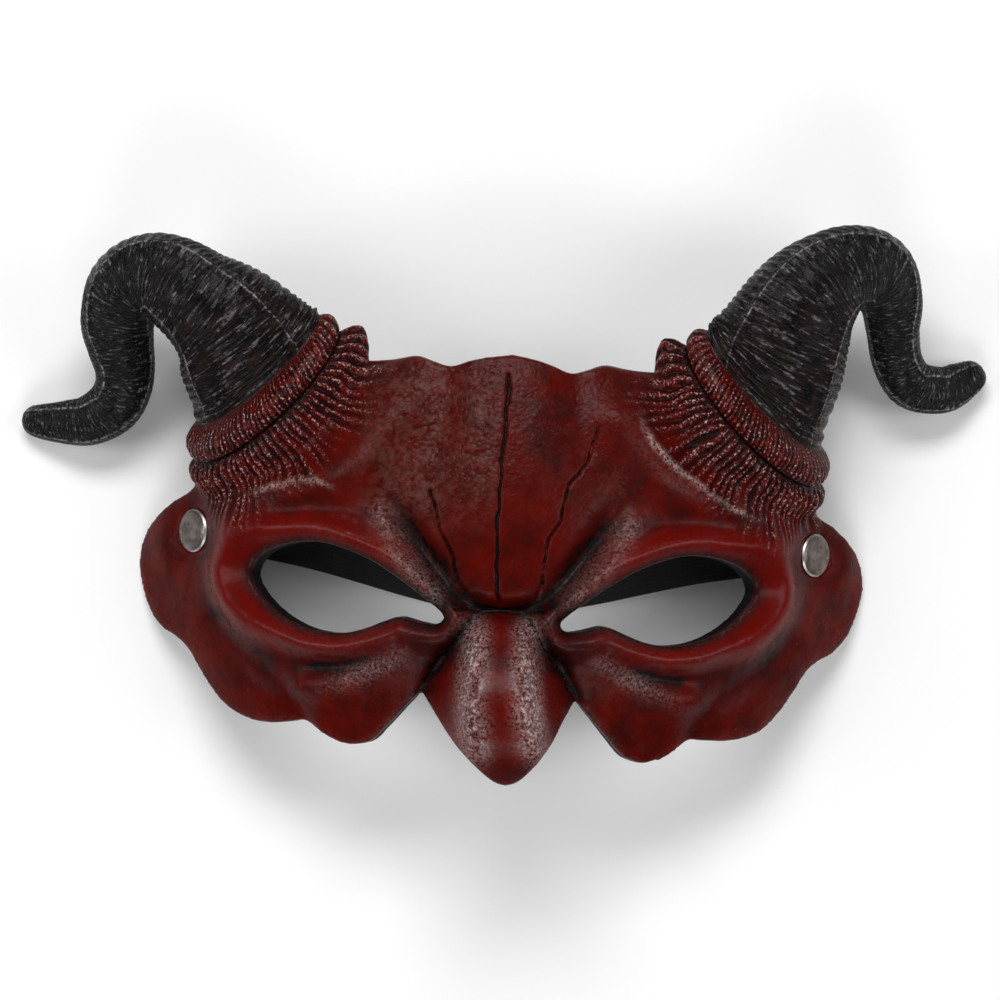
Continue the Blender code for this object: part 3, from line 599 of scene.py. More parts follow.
def plateMesh():
    tools = [prism("outlineCut", outlineOf(1) + outlineOf(-1)[-2:0:-1], 0.02)]
    for side in (-1, 1):
        tools.append(prism("eyeCut", [(unroll(side * x), y) for x, y in eyeLines[side]], 0.03))
    reachU = unroll(plate["rimReach"]) + 0.004
    reachY = 0.085
    bm = bmesh.new()
    bmesh.ops.create_grid(bm, x_segments=int(2 * reachU / plate["gridStep"]),
                          y_segments=int(2 * reachY / plate["gridStep"]), size=1.0)
    bmesh.ops.scale(bm, verts=bm.verts, vec=(reachU, reachY, 1))
    bmesh.ops.translate(bm, verts=bm.verts, vec=(0, 0, -0.001))
    raiseSlab(bm, list(bm.faces), 0.002)
    sheet = addPiece("sheet", meshFrom("sheet", bm))
    for tool, operation in zip(tools, ("INTERSECT", "DIFFERENCE", "DIFFERENCE")):
        cutWith(sheet, tool, operation)
    mesh = evaluated(sheet)
    for tool in tools:
        bpy.data.objects.remove(tool)
    u, y, level = pointsOf(mesh).T
    x, _ = bend(u, y, 0)
    front = frontHeight(x, y)
    seat = np.hypot(np.abs(x) - rivetSize["x"], (y - rivetSize["y"]) * math.cos(bendLimit))
    sunk = seat < rivetSize["cap"] / 2 * math.cos(bendLimit)
    front = np.where(sunk, np.minimum(front, -rivetSize["seat"] - 0.0002), front)
    inner = noseHeightAt(np.abs(x) + relief["noseWall"], y)
    back = formHeight(x, y) * 0.7 + inner - plate["thickness"]
    w = np.where(level > 0, front, np.minimum(back, front - 0.6 * plate["thickness"]))
    px, pz = bend(u, y, w)
    setPoints(mesh, np.column_stack((px, y, pz)))
    return mesh


def collarAxes():
    turn, tilt, roll = collar["turn"], collar["tilt"], collar["roll"]
    axis = np.array((math.cos(turn) * math.cos(tilt), math.sin(turn) * math.cos(tilt), math.sin(tilt)))
    up = unit(np.array((0, 0, 1.0)) - axis * axis[2])
    out = up * math.cos(roll) + np.cross(up, axis) * math.sin(roll)
    return axis, out, np.cross(out, axis)


# Collar and horn share one centre line and one frame of directions along it
def hornFrame(side, step):
    points = np.array(hornLines[side])
    rows = np.array(collarRings)
    base = points[0, :3]
    axis, out, _ = collarAxes()
    roots = [base + axis * row[0] for row in collarRings[::4]]
    line = smoothCurve(np.vstack((roots, points[:, :3])), perSpan=40)
    run = runOf(line)
    run = run - run[np.argmin(np.linalg.norm(line - base, axis=1))]
    marks = [run[np.argmin(np.linalg.norm(line - p, axis=1))] for p in points[:, :3]]
    stations = np.arange(rows[0, 0], run[-1], step)
    centres = columnsAt(stations, run, line)
    centres = np.where((stations < 0)[:, None], base + np.outer(stations, axis), centres)
    inCollar = stations < rows[-1, 0]
    half = np.where(inCollar, np.interp(stations, rows[:, 0], rows[:, 1]),
                    np.interp(stations, marks, points[:, 3]))
    settle = fade(stations, 0.0, 0.045)
    depth = np.where(inCollar, np.interp(stations, rows[:, 0], rows[:, 2]),
                     half * (0.52 + 0.40 * settle))
    sag, shift = (np.interp(stations, rows[:, 0], rows[:, k]) for k in (3, 4))
    back = collar["back"] + (half * 0.92 - collar["back"]) * fade(stations, -0.004, 0.040)
    tip = np.sqrt(np.clip(1 - (np.clip(stations - stations[-1] + 0.004, 0, None) / 0.0043) ** 2,
                          0.02, 1))
    tangents = unit(np.gradient(centres, axis=0))
    turnIn = fade(stations, 0.0, 0.022)[:, None]
    tangents = unit(axis * (1 - turnIn) + tangents * turnIn)
    hints = np.outer(1 - settle, out) + np.outer(settle, (0, 0, 1.0))
    fronts = unit(hints - tangents * (hints * tangents).sum(axis=1)[:, None])
    wides = np.cross(fronts, tangents)
    return {"stations": stations, "centres": centres + wides * shift[:, None], "fronts": fronts,
            "wides": wides, "tangents": tangents, "half": half * tip, "depth": depth * tip,
            "back": back * tip, "sag": sag}


def sectionRing(shape, index, turns, swell, grow=0.0):
    sine, cosine = np.sin(turns), np.cos(turns)
    deep = np.where(cosine > 0, shape["depth"][index], shape["back"][index]) + grow
    across = (shape["half"][index] + grow + swell) * sine
    out = (deep + swell) * cosine
    sunk = shape["sag"][index] * np.maximum(cosine, 0)
    return (shape["centres"][index] + np.outer(across, shape["wides"][index])
            + np.outer(out, shape["fronts"][index]) - np.outer(sunk, shape["tangents"][index]))


def collarMesh(side):
    # the lower band only: the upper one belongs to the horn's own piece
    shape = hornFrame(side, 0.0008)
    turns = np.linspace(0, 2 * math.pi, 180, endpoint=False)
    last = np.searchsorted(shape["stations"], collar["crease"] + 0.0002)
    rings = [sectionRing(shape, k, turns, 0.0) * (side, 1, 1) for k in range(last)]
    return rolledGrid("collar", rings)


def collarPlace(points, side):
    # ring station, turn about the axis and share of the ring's radius
    axis, out, wide = collarAxes()
    offset = points * (side, 1, 1) - np.array(hornLines[side][0][:3])
    along, across, deep = offset @ axis, offset @ wide, offset @ out
    turn = np.arctan2((across - collar["shift"]) / collar["half"], deep / collar["depth"])
    rows = np.array(collarRings)
    front = np.maximum(np.cos(turn), 0)
    station = np.full(len(points), rows[0, 0])
    for lower, upper in zip(rows, rows[1:]):
        low = lower[0] - lower[3] * front
        high = upper[0] - upper[3] * front
        station = station + np.clip((along - low) / (high - low), 0, 1) * (upper[0] - lower[0])
    half, depth, shift = (np.interp(station, rows[:, 0], rows[:, k]) for k in (1, 2, 4))
    return station, turn, np.hypot((across - shift) / half, deep / depth) * np.where(deep > -0.003, 1, 9)


def fluteCount(turn, station, pitch, seed):
    # goes up by one from flute to flute around the collar, unevenly
    circle = np.linspace(-math.pi, math.pi, 361)
    arc = np.hypot(np.gradient(collar["half"] * np.sin(circle)),
                   0.45 * np.gradient(collar["depth"] * np.cos(circle)))
    run = np.interp(turn, circle, np.cumsum(arc))
    flat = np.column_stack((run, station, run * 0))
    uneven = 0.55 * latticeNoise(flat, 0.0075, seed) + 0.22 * latticeNoise(flat, 0.0030, seed + 1)
    return run / pitch + uneven


def flutesAt(points, side):
    # count of the flutes on the lower band, how strongly they show, the collar's area and its crease
    station, turn, radius = collarPlace(points, side)
    seed = 3 if side < 0 else 8
    count = fluteCount(turn, station, collar["lowerPitch"], seed)
    number = np.floor(count + 0.5)
    uneven = latticeNoise(np.column_stack((number * 0.01, number * 0, number * 0)), 0.013, seed + 1)
    low = collar["fadeOut"] - 0.0022 * uneven
    near = fade(radius, 0.70, 0.86) * (1 - fade(radius, 1.5, 1.9))
    band = near * fade(station, low - 0.0022, low + 0.0040)
    band = band * (1 - fade(station, collar["crease"] - 0.0012, collar["crease"]))
    return count, band, near * fade(station, -0.030, -0.018), near * bell(station - collar["crease"], 0.0011)


def seamShare(points):
    share = np.zeros(len(points))
    for side in (-1, 1):
        gap, _ = distanceTo(points[:, 0], points[:, 1], [(side * x, y) for x, y in seamLine])
        share = np.maximum(share, bell(gap, 0.0070) * fade(points[:, 2], 0.006, 0.016))
    return share


def faceCasting():
    bm = bmesh.new()
    bm.from_mesh(plateMesh())
    print("plate cut and bent")
    for side in (-1, 1):
        bm.from_mesh(collarMesh(side))
    fused = addPiece("fused", meshFrom("fused", bm))
    remesh = fused.modifiers.new("fuse", "REMESH")
    remesh.mode = "VOXEL"
    remesh.voxel_size = plate["voxel"]
    soften = fused.modifiers.new("soften", "SMOOTH")
    soften.factor = 0.5
    soften.iterations = 4
    mesh = evaluated(fused)
    print("face fused:", len(mesh.vertices), "points")
    softenSeams(mesh)
    carveFace(mesh)
    return thinBack(mesh)


def softenSeams(mesh):
    # melts the lower collar band into the brow, where the two forms were only fused
    points = pointsOf(mesh)
    a, b, average = neighbours(mesh)
    share = 0.6 * seamShare(points)
    for _ in range(plate["seamPasses"]):
        near = np.column_stack([average(points[b, k], points[a, k]) for k in range(3)])
        points = points + (near - points) * share[:, None]
    setPoints(mesh, points)


def waveredPlace(points):
    across, height = unbend(points)
    waver = carving["waver"]
    wx = across + waver * latticeNoise(points, 0.004, 11) + 0.5 * waver * latticeNoise(points, 0.0015, 12)
    return across, height, wx, points[:, 1] + waver * latticeNoise(points, 0.004, 13)


def carveFace(mesh):
    points, normals = pointsOf(mesh), normalsOf(mesh)
    across, height, wx, wy = waveredPlace(points)
    facing = fade(normals[:, 2], -0.10, 0.25) * fade(height, -0.0045, -0.0015)
    cut = np.zeros(len(points))
    width = carving["creaseWidth"] * (0.9 + 0.3 * latticeNoise(points, 0.006, 14))
    for line, share in creaseLines:
        cut = cut - carving["creaseDepth"] * share * bell(distanceTo(wx, wy, line)[0], width)
    width = 0.8 * carving["creaseWidth"]
    for line, share in crackLines:
        cut = cut - carving["crackDepth"] * share * bell(distanceTo(wx, wy, line)[0], width)
    for line in browGlints.values():
        gap, along = distanceTo(across, points[:, 1], line)
        ends = fade(along, 0.0, 0.2) * (1 - fade(along, 0.85, 1.0))
        cut = cut + carving["browRidge"] * bell(gap, 0.0024) * ends
    uneven = latticeNoise(points, 0.011, 21) + 0.5 * latticeNoise(points, 0.0045, 22)
    uneven = uneven + 0.3 * latticeNoise(points, 0.0022, 23)
    move = (cut + carving["unevenness"] * uneven) * facing
    for side in (-1, 1):
        count, band, _, crease = flutesAt(points, side)
        own = points[:, 0] * side > 0.02
        groove = (0.5 + 0.5 * np.cos(2 * math.pi * count)) ** 1.4
        flute = collar["fluteDepth"] * groove * band * fade(normals[:, 2], -0.3, 0.1)
        move = move - own * (flute + collar["creaseCut"] * crease)
    setPoints(mesh, points + normals * move[:, None])


def thinBack(mesh):
    # the smooth inner face is thinned first, then the whole casting a little
    normals = normalsOf(mesh)
    inner = np.flatnonzero(normals[:, 2] < -0.25)
    piece = addPiece("thinned", mesh)
    piece.vertex_groups.new(name="inner").add(inner.tolist(), 1.0, "REPLACE")
    triangles = sum(len(face.vertices) - 2 for face in mesh.polygons)
    kept = triangles - plate["innerThinned"] * 2 * len(inner)
    first = piece.modifiers.new("thinInner", "DECIMATE")
    first.ratio = kept / triangles
    first.vertex_group = "inner"
    second = piece.modifiers.new("thinAll", "DECIMATE")
    second.ratio = min(1.0, plate["mostTriangles"] / kept)
    for thin in (first, second):
        thin.use_collapse_triangulate = True
    print("face triangles before thinning:", triangles)
    mesh = evaluated(piece)
    mesh.shade_smooth()
    return mesh


def maskFace(mesh):
    # painted areas of the face, worked out from the same lines as its carving
    points, normals = pointsOf(mesh), normalsOf(mesh)
    across, height, wx, wy = waveredPlace(points)
    y = points[:, 1]
    side = np.abs(across)
    noseSide = np.abs(across - noseSkew(across, y))
    fine, broad = curvatureOf(mesh, 2), curvatureOf(mesh, 20)
    mottle = latticeNoise(points, 0.009, 31) + 0.6 * latticeNoise(points, 0.004, 32)
    mottle = mottle + 0.35 * latticeNoise(points, 0.0018, 33)
    lidGap, crest, width = lidShape(across, y)

    def near(line, reach):
        return bell(distanceTo(side, y, line)[0], reach)

    # black wash and painted shade: darker in the hollows, the panel's valley and the inner corners of the
    # eyes
    washAndShade = 0.60 * fade(-fine, 120, 520) + 0.65 * fade(-broad, 35, 160)
    valleyGap, along = distanceTo(side, y, panelValley)
    reach = 0.0052 - 0.0040 * fade(along, 0.58, 0.80)
    washAndShade += (0.25 + 0.70 * fade(along, 0.15, 0.5)) * bell(valleyGap, reach) * (0.85 + 0.3 * mottle)
    washAndShade += 0.75 * bell(np.hypot(side - 0.0175, y + 0.0195), 0.0058) * (0.9 + 0.3 * mottle)
    # painted shade in the valleys under the eyes and beside the nose
    washAndShade += 0.55 * near(underLid, 0.0060) * (0.8 + 0.5 * mottle)
    washAndShade += 0.45 * near(underLidInner, 0.0055) * (0.8 + 0.5 * mottle)
    washAndShade += 0.55 * near(noseGroove, 0.0042) * fade(side, 0.005, 0.012)
    washAndShade += 0.55 * bell(np.hypot((side - 0.0255) / 1.6, y + 0.033), 0.0080)
    # painted shade at the eye holes' edges, around the rivets' seats and on the nose's flanks
    washAndShade += 0.80 * bell(np.maximum(lidGap - 0.0004, 0), 0.0014)
    washAndShade += 0.40 * bell(lidGap - crest - 0.0085, 0.0030) * (0.7 + 0.5 * mottle)
    washAndShade += 0.40 * bell(np.hypot(side - rivetSize["x"], y - rivetSize["y"]) - 0.0098, 0.0020)
    flank = fade(noseSide, 0.016, 0.026) * fade(-y, 0.045, 0.060)
    washAndShade += 0.55 * flank * (1 - fade(side, 0.030, 0.036))

    # painted highlights and gloss on the ridges, and the eye rings' brighter red
    lid = bell(lidGap - crest, width * 1.15) * fade(side, 0.026, 0.040)
    ridge = bell(noseSide - relief["noseRidgeX"], 0.0036)
    ridge = ridge * fade(-y, 0.022, 0.030) * (1 - fade(-y, 0.062, 0.076))
    paintedHighlight = fade(fine, 160, 520) * 0.07 + fade(broad, 60, 190) * 0.04 + 1.20 * ridge
    browGap, browAlong = distanceTo(side, y, brow)
    paintedHighlight += 0.07 * bell(browGap, 0.0026) * fade(browAlong, 0.05, 0.2)
    bagGap, bagAlong = distanceTo(side, y, bagRidge)
    paintedHighlight += 0.38 * bell(bagGap, 0.0030) * fade(bagAlong, 0.1, 0.6)
    paintedHighlight += 0.42 * near(innerBrow, 0.0032)
    # painted highlight along the brow ridges
    glint = np.zeros(len(points))
    for line in browGlints.values():
        gap, glintAlong = distanceTo(wx, wy, line)
        glint += bell(gap, 0.0010) * fade(glintAlong, 0.0, 0.3) * (1 - fade(glintAlong, 0.7, 1.0))
    gloss = 0.15 * lid + glint + ridge + 0.06 * fade(broad, 60, 200)

    # the leathery forehead, greyer on its left half
    forehead = fade(y, -0.004, 0.022) * (1 - fade(side, 0.036, 0.056))
    leftHand = 1 - fade(across, -0.006, 0.001)
    pebble = forehead * (0.45 + 0.45 * leftHand) + 0.9 * ridge
    pebble += 0.5 * near(innerBrow, 0.0045) + 0.5 * bell(bagGap, 0.004)
    grey = forehead * (0.16 + 0.72 * leftHand) * (0.75 + 0.45 * mottle)
    # the inner brow ridges are painted paler and greyer: partly grey paint, partly painted highlight
    grey += 0.5 * near(innerBrow, 0.0045)
    washAndShade += forehead * (0.16 + 0.30 * (1 - leftHand) * np.maximum(mottle, 0))

    # distance to the nearest crack, so that a material can draw it sharply
    farAway = 0.009
    crack = np.full(len(points), farAway)
    for line, share in creaseLines + crackLines:
        crack = np.minimum(crack, distanceTo(wx, wy, line)[0] + 0.0004 * (1 - share))
    crack = np.minimum(crack, distanceTo(wx, wy, creaseLines[0][0])[0] - 0.00022)
    crack = np.where(height > -0.003, crack, farAway)

    flutes, bands, collars, creases, zones = np.zeros((5, len(points)))
    for hand in (-1, 1):
        own = points[:, 0] * hand > 0.02
        zone = fade(collarPlace(points, hand)[0], -0.0178, -0.0155)
        for kept, value in zip((flutes, bands, collars, creases, zones), (*flutesAt(points, hand), zone)):
            kept[own] = value[own]
    # painted shade in the crease between the collar bands; the collars are also darkened, unevenly
    washAndShade = washAndShade * (1 - 0.5 * collars) + 0.95 * creases + collars * (0.14 + 0.24 * mottle)
    paintedHighlight *= 1 - 0.6 * collars
    bare = fade(frontHeight(across, y) - height, 0.0014, 0.0028) * (1 - seamShare(points)) * (1 - zones)
    bare = np.maximum(bare, 1 - fade(normals[:, 2], -0.45, -0.15))

    masks = {"washAndShade": washAndShade, "paintedHighlight": paintedHighlight * (0.75 + 0.4 * mottle), "lid": lid,
             "gloss": gloss * (1 - collars), "glint": glint * (1 - 0.8 * bands), "pebble": pebble,
             "grey": grey, "bare": bare, "band": bands}
    for name, values in masks.items():
        setMask(mesh, name, values)
    inMillimetres = crack * 1000
    setValue(mesh, "crack", inMillimetres)
    setValue(mesh, "flute", flutes)


# Horns: swept rings with ribs, fine lines and two long ridges
def hornMesh(side):
    shape = hornFrame(side, hornLook["ringStep"])
    stations = shape["stations"]
    hidden = stations < collar["crease"]
    shape["half"] = np.where(hidden, hornLook["rootHalf"], shape["half"])
    shape["depth"] = np.where(hidden, hornLook["rootDepth"], shape["depth"])
    shape["sag"] = stations * 0
    first = np.searchsorted(stations, collar["crease"] - 0.0012)
    even = np.linspace(0, 2 * math.pi, hornLook["sides"], endpoint=False)
    turns = even - hornLook["crowding"] * np.sin(even)
    signed = (turns + math.pi) % (2 * math.pi) - math.pi
    front = fade(np.cos(turns), -0.15, 0.15)
    seed = 40 if side < 0 else 60
    rings, notes = [], []
    for index in range(first, len(stations)):
        station = stations[index]
        small = min(1.0, shape["half"][index] / 0.012)
        spot = np.column_stack((np.sin(turns) * 0.012, np.cos(turns) * 0.012,
                                np.full(len(turns), station)))
        onHorn = fade(station, 0.0, 0.004)

        # two long seam ridges, and a ribbed band behind each
        outer = hornLook["outerSeam"] + 0.10 * math.sin(station * 40)
        inner = hornLook["innerSeam"] + 0.08 * math.sin(station * 55)
        ridges = bell(signed - outer, 0.10) + 0.8 * bell(signed - inner, 0.10)
        outerBand = fade(signed, outer - 0.03, outer + 0.10) * (1 - fade(signed, 2.7, 3.0))
        innerBand = fade(-signed, -inner - 0.03, -inner + 0.10) * (1 - fade(-signed, 2.5, 2.9))
        plain = 1 - np.maximum(outerBand, innerBand)
        pitch = hornLook["ribPitch"] * (0.55 + 0.45 * small)
        phase = station / pitch + 0.9 * latticeNoise(spot, 0.010, seed)
        phase = phase + 0.9 * signed * (outerBand - innerBand)
        ribs = 1 - 2 * np.abs(np.sin(math.pi * phase)) ** 0.8

        # wrinkles between them, then flutes on the band at the root
        drift = 1.4 * latticeNoise(spot * (0.5, 0.5, 1), 0.006, seed + 1)
        wavy = np.abs(np.sin(math.pi * (station / hornLook["wrinklePitch"] + drift)))
        swell = hornLook["ridge"] * ridges * small * fade(station, 0.0, 0.012)
        swell = swell - hornLook["ribDepth"] * ribs * (outerBand + 0.8 * innerBand) * small * onHorn
        swell = swell + hornLook["wrinkle"] * (wavy - 0.6) * plain * onHorn
        swell = swell + hornLook["unevenness"] * latticeNoise(spot, 0.014, seed + 3) * onHorn
        count = fluteCount(signed, np.full(len(turns), station), collar["upperPitch"], seed + 4)
        onBand = fade(station, collar["crease"], collar["crease"] + 0.0014)
        onBand = onBand * (1 - fade(station, -0.0016, 0.0002))
        groove = (0.5 + 0.5 * np.cos(2 * math.pi * count)) ** 1.3
        swell = swell - 0.8 * collar["fluteDepth"] * groove * onBand * front
        rings.append(sectionRing(shape, index, turns, swell, 0.0002 * onHorn) * (side, 1, 1))

        seam = np.minimum(np.abs(signed - outer), np.abs(signed - inner)) * shape["half"][index]
        notch = bell(station - collar["crease"], 0.0008) + bell(station - 0.0004, 0.0010)
        red = (1 - fade(station, -0.0002, 0.0006)) * front
        root = 1 - fade(station, 0.0, 0.060)
        notes.append(np.column_stack((spot, seam, count, onBand * front, red, notch + 0 * signed,
                                      root + 0 * signed)))
    return rolledGrid("horn", rings, {"spot": 0, "seam": 3, "flute": 4, "band": 5, "red": 6,
                                      "notch": 7, "root": 8}, notes)


def maskHorn(mesh):
    # painted highlight on the sharpest ridges and painted shade in the hollows
    fine = curvatureOf(mesh, 1)
    setMask(mesh, "paintedHighlight", fade(fine, 150, 900))
    setMask(mesh, "washAndShade", fade(-fine, 120, 900))


# Rivets
def rivetFrame(side):
    angle = side * bendLimit
    x, z = bend(unroll(side * rivetSize["x"]), np.array(rivetSize["y"]), 0.0)
    out = np.array((math.sin(angle), 0, math.cos(angle)))
    rim = np.array((math.cos(angle), 0, -math.sin(angle))) * side
    return np.array((float(x), rivetSize["y"], float(z))), out, rim


def rivetMesh(side):
    cap = rivetSize["cap"] / 2
    shank = rivetSize["shank"] / 2
    tail = rivetSize["tail"] / 2
    base = rivetSize["rim"] - rivetSize["seat"]
    end = tailPlane - rivetSize["tailThickness"]
    profile = [(0.0, base + rivetSize["dome"] * 0.86)]
    for share in (0.15, 0.3, 0.45, 0.6, 0.72, 0.82, 0.90, 0.95):
        profile.append((cap * share, base + rivetSize["dome"] * (0.86 + 0.14 * share ** 2)
                        * math.sqrt(1 - share ** 5)))
    for turn in np.linspace(0.35, math.pi / 2, 5):
        profile.append((cap * 0.95 + cap * 0.05 * math.sin(turn), base + 0.0005 * math.cos(turn)))
    profile += [(cap, -rivetSize["seat"] + 0.0002), (cap - 0.0002, -rivetSize["seat"]),
                (shank, -rivetSize["seat"]), (shank, tailPlane), (tail - 0.0003, tailPlane),
                (tail, tailPlane - 0.0003), (tail, end + 0.0004), (tail - 0.0004, end),
                (tail * 0.45, end), (tail * 0.38, end + 0.0003), (0.0, end + 0.0003)]
    bm = bmesh.new()
    verts = [bm.verts.new((radius, 0, height)) for radius, height in profile]
    for a, b in zip(verts, verts[1:]):
        bm.edges.new((a, b))
    bmesh.ops.spin(bm, geom=list(bm.verts) + list(bm.edges), cent=(0, 0, 0), axis=(0, 0, 1),
                   angle=2 * math.pi, steps=rivetSize["turnSteps"], use_merge=True)
    bmesh.ops.remove_doubles(bm, verts=bm.verts, dist=0.00001)
    bmesh.ops.recalc_face_normals(bm, faces=bm.faces)
    mesh = meshFrom("rivet", bm)
    origin, out, rim = rivetFrame(side)
    local = pointsOf(mesh)
    dent = 0.00012 * latticeNoise(local + side, 0.0045, 71) * fade(local[:, 2], -0.0008, 0.0)
    local = local + np.column_stack((dent * 0, dent * 0, dent))
    reach = np.hypot(local[:, 0], local[:, 1]) / cap
    # the rim mask marks the cap's rounded edge, where a painted highlight goes
    setMask(mesh, "rim", fade(reach, 0.91, 0.95) * (1 - fade(reach, 0.985, 1.0)))
    world = origin + local @ np.array((rim, np.cross(out, rim), out))
    setPoints(mesh, world)
    mesh.shade_smooth()
    mesh.set_sharp_from_angle(angle=math.radians(50))
    return mesh


# Elastic strap: a woven band on the route of its solid
def strapLine():
    origin, out, rim = rivetFrame(1)
    start = origin + out * (strapPlane - strapSize["thickness"] / 2)
    floor = strapSize["rest"] + strapSize["thickness"] / 2
    spots = [start + rim * strapSize["tail"], start + rim * strapSize["tail"] / 2, start,
             start - rim * 0.006, start - rim * 0.012]
    rows = [(p[0], p[2]) for p in spots]
    x, z = rows[-1]
    for share, height in ((0.12, 1.12), (0.22, 1.10), (0.34, 0.90), (0.46, 0.56), (0.57, 0.26),
                          (0.68, 0.07)):
        rows.append((x * (1 - share), floor + (z - floor) * height))
    rows += [(x * 0.20, floor), (x * 0.08, floor), (0.0, floor)]
    rows = smoothCurve(rows, perSpan=3)
    line = []
    for x, z in rows:
        sag = strapSize["droop"] * (1 - np.clip(x / 0.085, 0, 1)) ** 1.15
        lift = strapSize["lift"] * fade(x, 0.030, 0.070) * (1 - fade(x, 0.085, 0.104))
        line.append((x, rivetSize["y"] - sag + lift, z))
    return np.array(line + [(-x, y, z) for x, y, z in line[-2::-1]])


def strapMesh(route):
    run = runOf(route)
    line = columnsAt(np.linspace(0, run[-1], strapSize["steps"]), run, route)
    for _ in range(12):
        line[1:-1] = (line[:-2] + 2 * line[1:-1] + line[2:]) / 4
    widths = np.linspace(-1, 1, strapSize["across"])
    edge = np.sqrt(np.clip(1 - np.abs(widths) ** 14, 0.10, 1))
    rings = []
    for index, along in enumerate(unit(np.gradient(line, axis=0))):
        wide = unit(np.array((0, 1.0, 0)) - along * along[1])
        thin = np.cross(along, wide)
        end = min(1.0, 0.35 + min(index, len(line) - 1 - index) * 0.25)
        rib = 0.90 + 0.10 * np.cos(widths * math.pi * 2 * strapSize["ribs"]) * (1 - 0.5 * (index % 2))
        high = strapSize["thickness"] / 2 * edge * rib * end
        upper = np.outer(widths * strapSize["width"] / 2, wide) + np.outer(high, thin)
        lower = np.outer(widths[::-1] * strapSize["width"] / 2, wide) - np.outer(high[::-1], thin)
        rings.append(line[index] + np.vstack((upper, lower)))
    return rolledGrid("strap", rings), run[-1]


def strapUv(mesh, route):
    # u runs along the band and v across it, both in metres
    points = pointsOf(mesh)
    order = np.argsort(-route[:, 0])
    middleY = np.interp(-points[:, 0], -route[order, 0], route[order, 1])
    along = np.interp(-points[:, 0], -route[order, 0], runOf(route)[order])
    layer = mesh.uv_layers.new(name="weave")
    corner = np.empty(len(mesh.loops), dtype=np.int64)
    mesh.loops.foreach_get("vertex_index", corner)
    both = np.column_stack((along, points[:, 1] - middleY))[corner]
    layer.data.foreach_set("uv", both.ravel())


# Materials
class Graph:
    # a node tree, with short names for the nodes that are used most
    def __init__(self, tree):
        self.tree = tree

    def node(self, kind, **values):
        made = self.tree.nodes.new(kind)
        for key, value in values.items():
            setattr(made, key, value)
        return made

    def feed(self, node, **values):
        # sockets go by name, with _ for a space, or by number, as in0 and in1
        for key, value in values.items():
            name = int(key[2:]) if key.startswith("in") else key.replace("_", " ")
            socket = node.inputs[name]
            if isinstance(value, bpy.types.NodeSocket):
                self.tree.links.new(value, socket)
            else:
                socket.default_value = value
        return node

    def math(self, operation, first, second=0.0, clamp=False):
        made = self.node("ShaderNodeMath", operation=operation, use_clamp=clamp)
        return self.feed(made, in0=first, in1=second).outputs[0]

    def times(self, first, second, clamp=False):
        return self.math("MULTIPLY", first, second, clamp)

    def plus(self, first, second, clamp=False):
        return self.math("ADD", first, second, clamp)

    def minus(self, first, second, clamp=False):
        return self.math("SUBTRACT", first, second, clamp)

    def most(self, first, second, clamp=False):
        return self.math("MAXIMUM", first, second, clamp)

    def mix(self, factor, first, second):
        first, second = ((*color, 1.0) if isinstance(color, tuple) else color for color in (first, second))
        made = self.node("ShaderNodeMix", data_type="RGBA")
        return self.feed(made, in0=factor, in6=first, in7=second).outputs[2]

    def noise(self, source, scale, detail=4.0, roughness=0.55):
        made = self.node("ShaderNodeTexNoise")
        self.feed(made, Vector=source, Scale=scale, Detail=detail, Roughness=roughness)
        return made.outputs[0]

    def cells(self, source, scale, feature):
        made = self.node("ShaderNodeTexVoronoi", feature=feature)
        return self.feed(made, Vector=source, Scale=scale).outputs["Distance"]

    def ramp(self, source, low, high, first=0.0, last=1.0):
        made = self.node("ShaderNodeMapRange", clamp=True)
        self.feed(made, Value=source, From_Min=low, From_Max=high, To_Min=first, To_Max=last)
        return made.outputs[0]

    def mask(self, name, output="Fac"):
        return self.node("ShaderNodeAttribute", attribute_name=name).outputs[output]

    def place(self):
        return self.node("ShaderNodeTexCoord").outputs["Object"]

    def group(self, group, **values):
        return self.feed(self.node("ShaderNodeGroup", node_tree=group), **values).outputs

    def bump(self, shader, height, strength, distance):
        made = self.node("ShaderNodeBump")
        self.feed(made, Height=height, Strength=strength, Distance=distance)
        self.feed(shader, Normal=made.outputs["Normal"])


def newMaterial(name):
    material = bpy.data.materials.new(name)
    material.use_nodes = True
    tree = material.node_tree
    return material, Graph(tree), tree.nodes["Principled BSDF"]


def groupOf(name, inputs, outputs):
    # an empty node group that takes a vector and values and gives values
    tree = bpy.data.node_groups.new(name, "ShaderNodeTree")
    tree.interface.new_socket("Vector", in_out="INPUT", socket_type="NodeSocketVector")
    for way, keys in (("INPUT", inputs), ("OUTPUT", outputs)):
        for key in keys:
            tree.interface.new_socket(key, in_out=way, socket_type="NodeSocketFloat")
    graph = Graph(tree)
    return graph, graph.node("NodeGroupInput").outputs, graph.node("NodeGroupOutput")


def castSkinGroup():
    # skin of a foam casting: fine grain, leathery pebbles and scattered pinholes
    graph, given, leave = groupOf("castSkin", ("Grain", "Pebble", "Pinholes"), ("Height", "Hollow", "Crown"))
    place = given["Vector"]
    drift = graph.feed(graph.node("ShaderNodeTexNoise"), Vector=place, Scale=400.0)
    shrink = graph.node("ShaderNodeVectorMath", operation="SCALE")
    graph.feed(shrink, in0=drift.outputs["Color"], Scale=0.0012)
    warp = graph.node("ShaderNodeVectorMath", operation="ADD")
    graph.feed(warp, in0=place, in1=shrink.outputs[0])
    pebble = graph.ramp(graph.cells(warp.outputs[0], 720.0, "SMOOTH_F1"), 0.15, 0.75, 1.0, 0.0)
    hollow = graph.ramp(graph.cells(place, 210.0, "F1"), 0.06, 0.13, 1.0, 0.0)
    hollow = graph.times(hollow, given["Pinholes"])
    height = graph.times(graph.noise(place, 1600.0, 3.0), given["Grain"])
    height = graph.plus(height, graph.times(pebble, given["Pebble"]))
    graph.feed(leave, Height=graph.minus(height, hollow), Hollow=hollow, Crown=pebble)
    return graph.tree


